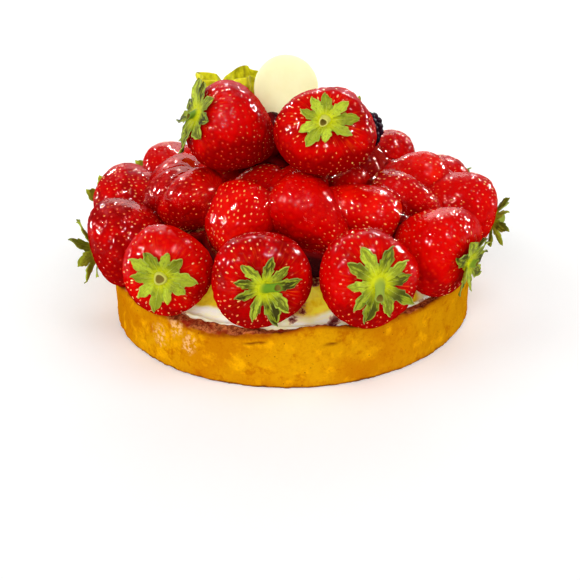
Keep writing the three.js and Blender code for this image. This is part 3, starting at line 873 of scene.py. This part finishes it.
def grow_leaf(berry, number, spread, step, age, middle, long, curl):
    """One leaf over the shoulder, from its base (u = 0) to its tip, with its looks at each point."""
    own = stream(berry.seed * 40 + number)
    u = np.linspace(0, 1, LEAF_ROWS)[:, None]
    v = np.linspace(-1, 1, LEAF_COLUMNS)[None, :]
    bend = 0.4 * step * (own() - 0.5)
    cup = 1.5 * (own() - 0.3)
    twist = 2.2 * (own() - 0.5)
    broad = 1.42 - 0.28 * age + 0.3 * (own() - 0.5)
    teeth = 0.36 * (((u * 3.7 + own() + 0.3 * np.sign(v)) % 1) - 0.6) * smooth(0.35, 0.5, u)
    outline = np.minimum(1, 0.3 + 0.95 * u) * (1 - u**3.2) ** 0.8 * 0.64 / (0.12 + 0.88 * u)
    half = step * 0.5 * broad * np.minimum(outline, 1.1) * (1 + teeth)
    angle = middle + bend * u**2 + half * v
    lift = (1 + 0.9 * (number % 2) * u + (curl - 1.1) * u**1.5 + cup * v**2 * u
            + twist * v * u**2 - 0.3 * (1 - v**2) * u)
    phi = math.pi - (0.1 + (long - 0.1) * u + 0 * v) * spread
    outward = berry.outward(phi, angle)
    sheet = berry.skin(phi, angle) + outward * lift[..., None]
    sheet = sheet + 0.22 * noise(sheet, 1.9, berry.seed)[..., None] * outward
    rib = np.exp(-((v / 0.09) ** 2)) * (1 - 0.4 * u)
    side_veins = 0.5 * np.exp(-((((u * 6 - np.abs(v) * 1.4) % 1) - 0.5) / 0.12) ** 2)
    looks = {
        "length": u, "vein": np.maximum(rib, side_veins * (np.abs(v) > 0.05)),
        "grain": np.stack(np.broadcast_arrays(u * 1.6, v, number * 3.7), -1),
        # border is a painted highlight along the leaf's edges
        "tint": 2 * own() - 1, "border": np.abs(v) ** 5 * smooth(0.2, 0.5, u),
    }
    for key, field in looks.items():
        field = np.broadcast_to(field, (LEAF_ROWS, LEAF_COLUMNS) + np.shape(field)[2:])
        looks[key] = np.concatenate([field.reshape(-1, *field.shape[2:])] * 2)
    return plate(sheet, LEAF_THICKNESS), looks


def grow_leaves(berry):
    """The star of leaves on a berry with its cut stem, as one piece."""
    count, spread, flare = LEAVES.get(berry.name, USUAL_LEAVES)
    draw = stream(berry.seed + 100)
    age = AGED.get(berry.name, USUAL_AGE)
    step = TAU / count
    parts, looks = [], []
    for number in range(count):
        middle = number * step + 0.25 * step * (draw() - 0.5)
        long = 0.82 + 0.3 * draw()
        curl = flare * (0.7 + 0.6 * draw())
        leaf, leaf_looks = grow_leaf(berry, number, spread, step, age, middle, long, curl)
        parts.append(leaf)
        looks.append(leaf_looks)
    hub, hub_faces, cut = stalk(berry, spread)
    parts.append((hub, hub_faces))
    none = np.zeros(len(hub))
    looks.append({"length": none, "vein": none, "grain": hub / 4, "tint": none, "border": none})
    points, faces = join(parts)
    add_piece(f"leaves_{berry.name}", points, faces, LEAF, "leaf", [f"leaves_{berry.name}"],
              age=np.full(len(points), age), cut=np.concatenate([np.zeros(len(points) - len(hub)), cut]),
              **{key: np.concatenate([part[key] for part in looks]) for key in looks[0]})


def stalk(berry, spread):
    """The hub that the leaves grow from, and the cut stem on it with its hollow end."""
    theta = turns(32)
    radius, height, aside, above = STALKS.get(berry.name, USUAL_STALK)
    rows, cut = [], []
    for reach, lift in ((0.26, -0.6), (0.28, 0.7), (0.2, 1.5)):
        phi = np.full_like(theta, math.pi - reach * spread)
        rows.append(berry.skin(phi, theta) + berry.axis * lift)
        cut.append(0)
    top = berry.skin(np.array(math.pi), np.array(0.0))
    ring = np.cos(theta)[:, None] * berry.side + np.sin(theta)[:, None] * berry.up
    ring = ring * (1 + 0.08 * np.sin(3 * theta + berry.seed))[:, None]
    for share, part, brown in STEM:
        lean = (berry.side * aside + berry.up * above) * share
        rows.append(top + berry.axis * (2.2 + height * share) + lean + ring * radius * part)
        cut.append(brown)
    rows = np.array(rows)
    points, faces = loft(rows[:, ::-1], first=top - berry.axis * 0.5, last=rows[-1].mean(0))
    return points, faces, np.concatenate([np.repeat(cut, len(theta)), [0, 1]])


# ---- crust

CRUST_AROUND = 760
CRUST_TENSION = 0.35  # how roundly the rows run through the corners of its outline
CRUST_ROWS = (3, 12, 13, 10, 4, 5, 7, 4, 6, 2)  # rows of points between those corners
# azimuth, height and reach of the cracks
CRACKS = [(10, 19.4, 2.5), (-10, 19.7, 3), (70, 17, 3), (-100, 18, 4), (160, 19, 3)]
# azimuth and height of the floury marks
FLOUR_SPOTS = [(-40, 13), (-29.5, 13), (-34, 19), (118, 12), (-155, 14)]


def rim_height(azimuth):
    """Height of the rim's outer edge: a few long waves, a peak and a dip at the front."""
    a = np.radians(azimuth)
    waves = 0.7 * np.sin(3 * a + 0.6) + 0.5 * np.sin(7 * a + 2.1) + 0.35 * np.sin(17 * a)
    peak = 2.6 * np.exp(-(((azimuth - 8) / 9) ** 2))
    dip = -2.2 * np.exp(-(((azimuth + 18) / 12) ** 2))
    return CRUST_HEIGHT + waves + peak + dip


def crust_outline(azimuth):
    """Radius and height of the wall's section at each azimuth, from the foot over the rim."""
    a = np.radians(azimuth)
    rim = rim_height(azimuth)
    bulge = 0.35 * np.sin(5 * a + 1) + 0.3 * np.sin(11 * a + 0.4)
    crumb = 0.4 * np.sin(23 * a) + 0.3 * np.sin(31 * a + 1)
    foot = CRUST_FOOT + bulge * 0.4
    outer = CRUST_RADIUS + bulge
    inner = CRUST_RADIUS - CRUST_WALL
    section = [
        (foot - 0.9, 0),
        (foot, 1),
        (foot + (outer - foot) * 0.4, CRUST_HEIGHT * 0.35),
        (outer, CRUST_HEIGHT * 0.7),
        (outer - 0.3, rim - 1.2),
        (outer - 1.3, rim),
        (outer - 2.8 + crumb, (rim + CRUST_HEIGHT) / 2 + crumb * 0.6),
        (inner + 0.6, CRUST_HEIGHT - 0.2),
        (inner, CRUST_HEIGHT - 1.2),
        (inner - 0.5, CRUST_FLOOR + 2),
        (inner - 2.5, CRUST_FLOOR),
    ]
    return np.array([(radius + 0 * a, height + 0 * a) for radius, height in section])


def crust_rows(section):
    """Smooth rows through the section's corners, and where each row lies between the corners."""
    place = np.concatenate([k + np.arange(count) / count for k, count in enumerate(CRUST_ROWS)]
                           + [[len(CRUST_ROWS)]])
    k = np.minimum(place.astype(int), len(CRUST_ROWS) - 1)
    t = (place - k)[:, None, None]
    before, start, end, after = section[np.clip(np.stack([k - 1, k, k + 1, k + 2]), 0, len(section) - 1)]
    return ((2 * t**3 - 3 * t**2 + 1) * start + (t**3 - 2 * t**2 + t) * ((end - before) * CRUST_TENSION)
            + (-2 * t**3 + 3 * t**2) * end + (t**3 - t**2) * ((after - start) * CRUST_TENSION)), place


def crack_lines(points, azimuth):
    """Short thin lines in the wall, 1 along their middles."""
    crack = np.zeros(len(points))
    for turn, height, length in CRACKS:
        bend = height + 0.25 * (azimuth - turn) + 0.5 * noise(points, 4, 15)
        line = np.exp(-(((points[:, 2] - bend) / 0.45) ** 2 + ((azimuth - turn) / length) ** 4))
        crack = np.maximum(crack, line)
    return crack


def flour_marks(points, azimuth):
    flour = np.zeros(len(points))
    for turn, height in FLOUR_SPOTS:
        away = np.hypot((azimuth - turn) * 1.5, (points[:, 2] - height) * 0.7) + 2.5 * noise(points, 4, 14)
        flour = np.maximum(flour, 1 - smooth(2.2, 5, away))
    return flour


def bake_crust():
    azimuth = np.linspace(-180, 180, CRUST_AROUND, endpoint=False)
    section, place = crust_rows(crust_outline(azimuth))
    rows = toward(azimuth, 0) * section[:, 0][..., None]
    rows[..., 2] = section[:, 1]
    points, faces = loft(rows, first=(0, 0, 0), last=(0, 0, CRUST_FLOOR))
    normal = normals(points, faces)
    azimuth = polar(points)[1]
    place = np.concatenate([np.repeat(place, CRUST_AROUND), [0, len(CRUST_ROWS)]])
    wall = smooth(0.8, 1.3, place) * (1 - smooth(4.3, 5, place))
    top = smooth(4.2, 5, place) * (1 - smooth(8.4, 9, place))
    foot = smooth(0.2, 0.9, place) * (1 - smooth(1.1, 1.8, place))
    crack = wall * crack_lines(points, azimuth)
    relief = wall * (0.5 * noise(points, 21, 1) + 0.28 * noise(points, 8, 2) + 0.12 * noise(points, 3, 3)
                     + 0.05 * noise(points, 1.3, 4) - 0.4 * smooth(0.45, 0.8, noise(points, 5, 12)))
    relief += top * (0.55 * noise(points, 3.4, 5) + 0.4 * noise(points, 1.6, 6)) - 0.5 * crack
    relief += foot * (0.35 * noise(points, 2.2, 8) + 0.25 * noise(points, 1.1, 9))
    points = points + normal * relief[:, None]
    points[:, 2] = np.where(place < 0.05, 0, np.maximum(points[:, 2], 0))
    for berry in berries:
        if berry.kind == "ring":
            sink(points, True, berry, 0.1, 0)
    edge = np.maximum(1 - smooth(0.5, 1.5, place), smooth(3.6, 4.6, place))
    inside = smooth(4.9, 5.5, place + 0.5 * noise(points, 3, 10) + 0.3 * noise(points, 1.3, 11))
    # the crust turns darker brown within about a millimetre of the floor
    darker_foot = 1 - smooth(0.5, 1.3, points[:, 2] + 0.5 * noise(points, 2.4, 16))
    add_piece("crust_case", points, faces, crust_material(), "baked_crust", ["crust"], edge=edge,
              inside=inside, flour=flour_marks(points, azimuth) * (1 - inside), crack=crack, foot=darker_foot)


# ---- cream

CREAM_AROUND = 520
SHELF = 76  # radius where the white cream gives way to the yellow custard
# azimuth and radius of the spots of jam
JAM_SPOTS = [(1.3, 75), (12, 80), (-42, 79), (27, 79), (75, 78), (130, 79), (-150, 78)]


def cream_top(radius, azimuth):
    """Height of the cream: nearly level at the wall, and a mound under the fruit."""
    a = np.radians(azimuth)
    wave = 0.35 * np.sin(6 * a + 0.5) + 0.3 * np.sin(13 * a + radius * 0.2)
    rise = np.maximum(0, 1 - radius / MOUND_FOOT)
    mound = (MOUND_HEIGHT - CREAM_LEVEL) * np.sin(np.minimum(1, rise * 1.7) * math.pi / 2) ** 1.1
    return CREAM_LEVEL + wave + mound


def spread_cream():
    azimuth = np.linspace(-180, 180, CREAM_AROUND, endpoint=False)
    direction = toward(azimuth, 0)
    foot = CRUST_RADIUS - CRUST_WALL - GAP
    bottom = CRUST_FLOOR + GAP
    skirt = [(foot - 3.4, bottom), (foot - 0.9, bottom + 2.4), (foot - 0.4, CREAM_LEVEL - 2.5)]
    radii = np.concatenate([np.linspace(foot - 0.3, 60, 34), np.linspace(58, 2, 20)])
    rows = [direction * radius + (0, 0, height) for radius, height in skirt]
    rows += [direction * radius + cream_top(radius, azimuth)[:, None] * (0, 0, 1) for radius in radii]
    rows = np.array(rows)
    ring = np.concatenate([[radius for radius, _ in skirt], radii])[:, None] + 0 * azimuth
    open_top = smooth(66, 74, ring) * (np.arange(len(ring)) >= len(skirt))[:, None]
    stroke = np.stack([ring, 0.35 * azimuth + 0 * ring, 0 * ring], -1)
    dollops = 1.1 * noise(rows, 9, 21) + 0.5 * noise(rows, 4, 22) + 0.45 * noise(stroke, 2.4, 23)
    rows[..., 2] += open_top * (dollops + 0.7)
    points, faces = loft(rows, first=(0, 0, bottom), last=(0, 0, cream_top(2, np.zeros(1))[0]))
    movable = np.arange(len(points)) >= len(skirt) * CREAM_AROUND
    movable[-2] = False  # the pole of the underside
    for berry in berries:
        sink(points, movable, berry, 0.25, bottom + 1)
    outer, azimuth = polar(points)
    shelf = SHELF + 2.6 * np.exp(-(((azimuth - 7) / 6) ** 2))
    custard = smooth(-0.2, 0.3, noise(points, 12, 31) + (shelf - outer) * 0.2)
    jam = smooth(-0.6, 0.6, 66 - outer + 2 * noise(points, 7, 33))
    for turn, radius in JAM_SPOTS:
        away = np.hypot((azimuth - turn) * 1.1 + 0.4 * (outer - radius), 0.7 * (outer - radius))
        jam = np.maximum(jam, 1 - smooth(0, 4.2, away + 1.6 * noise(points, 2.6, 34)))
    add_piece("cream_filling", points, faces, cream_material(), "cream", ["cream"], custard=custard,
              jam=jam, smear=np.stack([outer, 0.3 * azimuth, 0.3 * points[:, 2]], -1),
              shore=smooth(78.5, 81, outer + 1.5 * noise(points, 5, 35)))


# ---- glaze

GLAZE_STEP = 1.1
GLAZE_FLOOR = 38
FILLET = 5.5
DEEPEST = 7
POOL_DEPTH = 5  # of the jelly between the berries, over the mound of cream
POOL_RADIUS = 66
WEB = 2.4  # reach of the jelly that hangs between the two foremost top berries
# centre and half size of the dark jelly in the hollow under them, and of that at the disc's foot; both are
# dark masses of painted shade
SHADE_PLUGS = [((-7, 0, 69), (19, 11, 11)), ((-7.3, -9, 84), (7, 6, 10))]


def soft_least(a, b, reach):
    """The lesser of two fields, with the corner between them rounded."""
    corner = np.maximum(reach - np.abs(a - b), 0) / reach
    return np.minimum(a, b) - corner * corner * reach / 4


def wet_berries(axes):
    """A field that is below 0 in every berry but the top ones, and in the thin coat on it."""
    field = np.full([len(axis) for axis in axes], 9.0)
    for berry in berries:
        if berry.kind == "top":
            continue
        reach = berry.half.max() + 8
        cut = tuple(slice(*np.searchsorted(axis, (middle - reach, middle + reach)))
                    for axis, middle in zip(axes, berry.centre))
        grid = lattice([axis[part] for axis, part in zip(axes, cut)])
        wet = 0.15 + 0.5 * noise(grid, 11, 42) + 0.38 * noise(grid, 5, 43)
        if berry.kind == "ring":
            dry = 1 - smooth(50, 56, grid[..., 2] + 3 * noise(grid, 9, 41))
            dry = np.maximum(dry, smooth(0.35, 0.6, (grid - berry.centre) @ berry.axis / berry.half[0]))
            wet = wet - 4 * dry
        field[cut] = soft_least(field[cut], berry.distance(grid) - wet, FILLET)
    return field


def pour_glaze():
    """Clear jelly over the banked berries that thickens to dark red between them, with dark jelly set in the
    hollows under the top berries as painted shade.
    """
    low = np.array([-92, -92, GLAZE_FLOOR - 2.0])
    high = np.array([94, 94, 104.0])
    counts = np.ceil((high - low) / GLAZE_STEP).astype(int) + 1
    axes = [start + GLAZE_STEP * np.arange(count) for start, count in zip(low, counts)]
    grid = lattice(axes)
    outer, azimuth = polar(grid)
    pool = np.maximum(grid[..., 2] - (cream_top(outer, azimuth) + POOL_DEPTH), outer - POOL_RADIUS)
    field = soft_least(wet_berries(axes), pool, FILLET)
    pair = [berry for berry in berries if berry.name in ("top_01", "top_02")]
    field = np.minimum(field, np.maximum(*(berry.distance(grid) for berry in pair)) - WEB)
    for centre, half in SHADE_PLUGS:
        shade_plug = np.linalg.norm((grid - centre) / half, axis=-1) - 1
        field = np.minimum(field, shade_plug * min(half))
    field = np.maximum(field, GLAZE_FLOOR - grid[..., 2])
    points, faces = surface_net(field, low, GLAZE_STEP)
    depth = np.full(len(points), float(DEEPEST))
    for berry in berries:
        near = np.linalg.norm(points - berry.centre, axis=1) < berry.half.max() + 9
        depth[near] = np.minimum(depth[near], berry.distance(points[near]))
    # painted shade: the web between the two top berries and the plugs count as deeper jelly, so they take
    # its darkest colour
    between = np.maximum(*(berry.distance(points) for berry in pair)) < WEB + 0.4
    for centre, half in SHADE_PLUGS:
        between |= np.linalg.norm((points - centre) / half, axis=1) < 1.1
    depth = np.clip(depth + 2.5 * between, 0, DEEPEST)
    add_piece("glaze", points, faces, glaze_material(), "strawberry", depth=depth)


# ---- pieces on top


DRUPELETS = 58
DRUPELET_RADIUS = 1.75


def set_dark_berry():
    """A core with round drupelets all over it."""
    axis = toward(*DARK_BERRY_AXIS)
    turned = np.stack([*basis(axis), axis])
    shape, quads = ball(8)
    height, turn = spiral(DRUPELETS)
    level = np.sqrt(1 - height**2)
    spots = np.stack([level * np.cos(turn), level * np.sin(turn), height], -1)
    half = np.array([DARK_BERRY_WIDTH, DARK_BERRY_WIDTH, DARK_BERRY_LENGTH]) / 2 - DRUPELET_RADIUS
    sizes = np.random.default_rng(5).uniform(0.9, 1.12, DRUPELETS) * DRUPELET_RADIUS
    shapes = [shape * (half + 0.2)] + [shape * size + spot for spot, size in zip(spots * half, sizes)]
    points, faces = join([(part @ turned + DARK_BERRY_CENTRE, [quads]) for part in shapes])
    add_piece("dark_berry_fruit", points, faces, dark_berry_material(), "dark_berry", ["dark_berry"])


def set_gooseberry():
    shape, quads = ball(24)
    points = shape * GOOSEBERRY_RADIUS * (1 + 0.01 * noise(shape, 0.5, 3))[:, None] + GOOSEBERRY_CENTRE
    add_piece("gooseberry_fruit", points, [quads], gooseberry_material(), "gooseberry", ["gooseberry"])


def set_husk():
    """The papery husk: a bell of five lobes that opens outwards, folded and creased."""
    axis = toward(*HUSK_AXIS)
    side, up = basis(axis)
    angle = turns(160)[None]
    step = np.linspace(0.04, 3, 46)[:, None]
    turned = angle - math.radians(HUSK_TURN)
    lobe = 0.68 + 0.32 * np.sqrt(np.abs(np.cos(2.5 * turned))) + 0.06 * np.sin(angle + 1)
    middle = HUSK_BASE + (HUSK_LENGTH * lobe * step / 3)[..., None] * axis
    fold = 1 + 0.16 * np.cos(10 * turned) + 0.1 * np.cos(3 * angle + step)
    out = HUSK_RADIUS * np.sin(HUSK_FLARE * step / 3) * fold
    sheet = middle + (out * np.cos(angle))[..., None] * side + (out * np.sin(angle))[..., None] * up
    inward = unit(middle - sheet)
    crease = 0.9 * noise(sheet, 4.2, 51) + 0.3 * noise(sheet, 1.5, 52)
    sheet = sheet + inward * (crease * smooth(0.2, 1.2, step + 0 * angle))[..., None]
    rows = np.concatenate([sheet, (sheet + inward * HUSK_THICKNESS)[::-1]])
    points, faces = loft(rows, first=HUSK_BASE, last=HUSK_BASE + axis * 2 * HUSK_THICKNESS)
    vein = np.exp(-((np.abs(((turned / TAU * 10 + 0.5) % 1) - 0.5) / 0.07) ** 2)) + 0 * step
    vein = np.concatenate([vein.ravel(), vein[::-1].ravel(), [0, 0]])
    add_piece("gooseberry_leaves", points, faces, husk_material(), "husk", ["gooseberry_husk"], vein=vein)


DISC_BEVEL = 0.55


def set_disc():
    turned = np.array(Matrix.Rotation(-math.radians(DISC_LEAN), 3, "X"))
    angle = turns(180)
    half = DISC_THICKNESS / 2
    section = [(radius, -half) for radius in (2, 6, 10, 12.5)]
    for sign, first in ((-1, -math.pi / 2), (1, 0)):
        for corner in np.linspace(first, first + math.pi / 2, 5):
            section.append((DISC_RADIUS - DISC_BEVEL + DISC_BEVEL * math.cos(corner),
                            sign * (half - DISC_BEVEL) + DISC_BEVEL * math.sin(corner)))
    section += [(radius, half) for radius in (12.5, 10, 6, 2)]
    rows = np.array([np.stack([radius * np.cos(angle), 0 * angle - y, radius * np.sin(angle)], -1)
                     for radius, y in section])
    points, faces = loft(rows, first=(0, half, 0), last=(0, -half, 0))
    points = (points + 0.05 * noise(points, 5, 61)[:, None] * (0, 1, 0)) @ turned.T + DISC_CENTRE
    add_piece("chocolate_disc_plain", points, faces, disc_material(), "white_chocolate", ["chocolate_disc"])


# ---- camera, floor and light

BOARD_RADIUS = 114.3  # the camera was placed from the round board under the tart
CAMERA_DISTANCE = 3 * BOARD_RADIUS
CAMERA_ELEVATION = 26.68
BOARD_OFFSET = (-0.007 * BOARD_RADIUS, 0.031 * BOARD_RADIUS)
CAMERA_PITCH = 26.31  # degrees
CAMERA_ROLL = -1.39
CAMERA_YAW = -0.36
CAMERA_LENS = 41.3

LAMP_DISTANCE = 25  # metres, of the lamps that show in the glaze
LAMP_RIM = (0.5, 0.2)  # where a lamp is dark and where it is fully bright, in widths from its middle
SKY_STRENGTH = 0.2
# name, azimuth, elevation, spread and power of the light that the surfaces scatter
SOFT_LIGHTS = [
    ("front_light", -16, 22, 40, 0.5), ("left_light", -76, 33, 40, 0.3), ("right_light", 58, 38, 40, 0.3),
    ("back_light", 172, 30, 60, 0.14), ("top_light", 60, 80, 40, 0.16),
]
# azimuth, elevation, width and radiance of the lamps that show in the glaze
REFLECTIONS = [
    (-62, 28, 10, 230), (-106, 9, 9, 230), (122, 24, 10, 230), (150, 37, 8, 230), (-8, 25, 6, 260),
    (32, 43, 7, 260), (100, 14, 7, 260), (-40, 50, 6, 260), (60, 62, 5, 260), (-140, 34, 7, 240),
    (-170, 50, 6, 240), (180, 22, 78, 4.5),
]


def place_camera():
    pitch, roll, yaw = (math.radians(angle) for angle in (CAMERA_PITCH, CAMERA_ROLL, CAMERA_YAW))
    turned = (Matrix.Rotation(-yaw, 4, "Z") @ Matrix.Rotation(math.pi / 2 - pitch, 4, "X")
              @ Matrix.Rotation(roll, 4, "Z"))
    place = toward(0, CAMERA_ELEVATION) * CAMERA_DISTANCE - (*BOARD_OFFSET, 0)
    camera = put("camera", bpy.data.cameras.new("camera"))
    camera.matrix_world = Matrix.Translation(place * MM) @ turned
    camera.data.lens = CAMERA_LENS
    camera.data.sensor_width = 36
    camera.data.clip_start = 0.01
    bpy.context.scene.camera = camera


FLOOR_REACH = 30  # metres, as are the next two
BACKDROP_RADIUS = 8
BACKDROP_HEIGHT = 3
FLOOR_GLOW = 0.1
BACKDROP_GLOW = 0.6


def set_stage(name, points, faces, glow):
    """A plain pale sheet that isn't part of the tart."""
    mesh = bpy.data.meshes.new(name)
    mesh.from_pydata(points, [], faces)
    s = Shader(f"pale_{name}")
    mesh.materials.append(s.finish(s.principled(
        Base_Color=(0.97, 0.97, 0.965, 1), Roughness=0.8, Specular_IOR_Level=0.1,
        Emission_Color=(1, 1, 1, 1), Emission_Strength=glow)))
    sheet = put(name, mesh)
    return sheet


def lay_floor():
    corners = [(x * FLOOR_REACH, y * FLOOR_REACH, 0) for x, y in ((-1, -1), (1, -1), (1, 1), (-1, 1))]
    set_stage("floor", corners, [(0, 1, 2, 3)], FLOOR_GLOW)


def hang_backdrop():
    """A pale wall far round the floor, for views from low down; it neither lights nor shades the tart."""
    angle = turns(64)
    ring = np.stack([np.cos(angle), np.sin(angle), 0 * angle], -1) * BACKDROP_RADIUS
    points, faces = loft(np.stack([ring, ring + (0, 0, BACKDROP_HEIGHT)]))
    backdrop = set_stage("backdrop", points.tolist(), faces[0].tolist(), BACKDROP_GLOW)
    backdrop.visible_diffuse = backdrop.visible_glossy = backdrop.visible_shadow = False


def aim_lamp(name, kind, azimuth, elevation):
    """A lamp that shines on the tart from a direction."""
    lamp = put(name, bpy.data.lights.new(name, kind))
    lamp.rotation_mode = "QUATERNION"
    lamp.rotation_quaternion = Vector(toward(azimuth, elevation)).to_track_quat("Z", "Y")
    return lamp


def add_sun(name, azimuth, elevation, spread, power):
    """Soft light from a direction, even over the whole floor; power 1 whitens a floor that faces it."""
    lamp = aim_lamp(name, "SUN", azimuth, elevation)
    lamp.data.angle = math.radians(spread)
    lamp.data.energy = power * math.pi
    lamp.visible_glossy = False


def soften_rim(tree):
    """Fades a round lamp towards its rim."""
    spot = add_node(tree, "ShaderNodeNewGeometry").outputs["Parametric"]
    away = add_node(tree, "ShaderNodeVectorMath", {0: spot, 1: (0.5, 0.5, 0)}, operation="DISTANCE")
    inputs = {"Value": away.outputs["Value"], "From Min": LAMP_RIM[0], "From Max": LAMP_RIM[1]}
    fade = add_node(tree, "ShaderNodeMapRange", inputs, interpolation_type="SMOOTHSTEP")
    tree.links.new(fade.outputs[0], tree.nodes["Emission"].inputs["Strength"])


def add_reflection(name, azimuth, elevation, width, radiance):
    """A round lamp with a soft rim, far away, that shows in gloss only; its width is in degrees."""
    lamp = aim_lamp(name, "AREA", azimuth, elevation)
    lamp.location = Vector(toward(azimuth, elevation)) * LAMP_DISTANCE
    lamp.visible_diffuse = False
    light = lamp.data
    light.shape = "DISK"
    light.size = 2 * LAMP_DISTANCE * math.tan(math.radians(width / 2))
    light.energy = radiance * math.pi**2 * (light.size / 2) ** 2
    light.use_nodes = True
    soften_rim(light.node_tree)


def light_scene():
    world = bpy.data.worlds.new("studio")
    bpy.context.scene.world = world
    world.use_nodes = True
    sky = world.node_tree.nodes["Background"]
    sky.inputs["Color"].default_value = (1, 1, 1, 1)
    sky.inputs["Strength"].default_value = SKY_STRENGTH
    for name, *light in SOFT_LIGHTS:
        add_sun(name, *light)
    for number, lamp in enumerate(REFLECTIONS):
        add_reflection(f"reflection_{number + 1}", *lamp)
    bpy.context.scene.view_settings.view_transform = "Standard"


# ---- the tart

place_camera()
lay_floor()
hang_backdrop()
light_scene()
for order, one in enumerate(berries):
    grow_berry(one, berries[:order])
    if one.kind in ("ring", "top"):
        grow_leaves(one)
scatter_seeds()
bake_crust()
spread_cream()
pour_glaze()
set_dark_berry()
set_gooseberry()
set_husk()
set_disc()
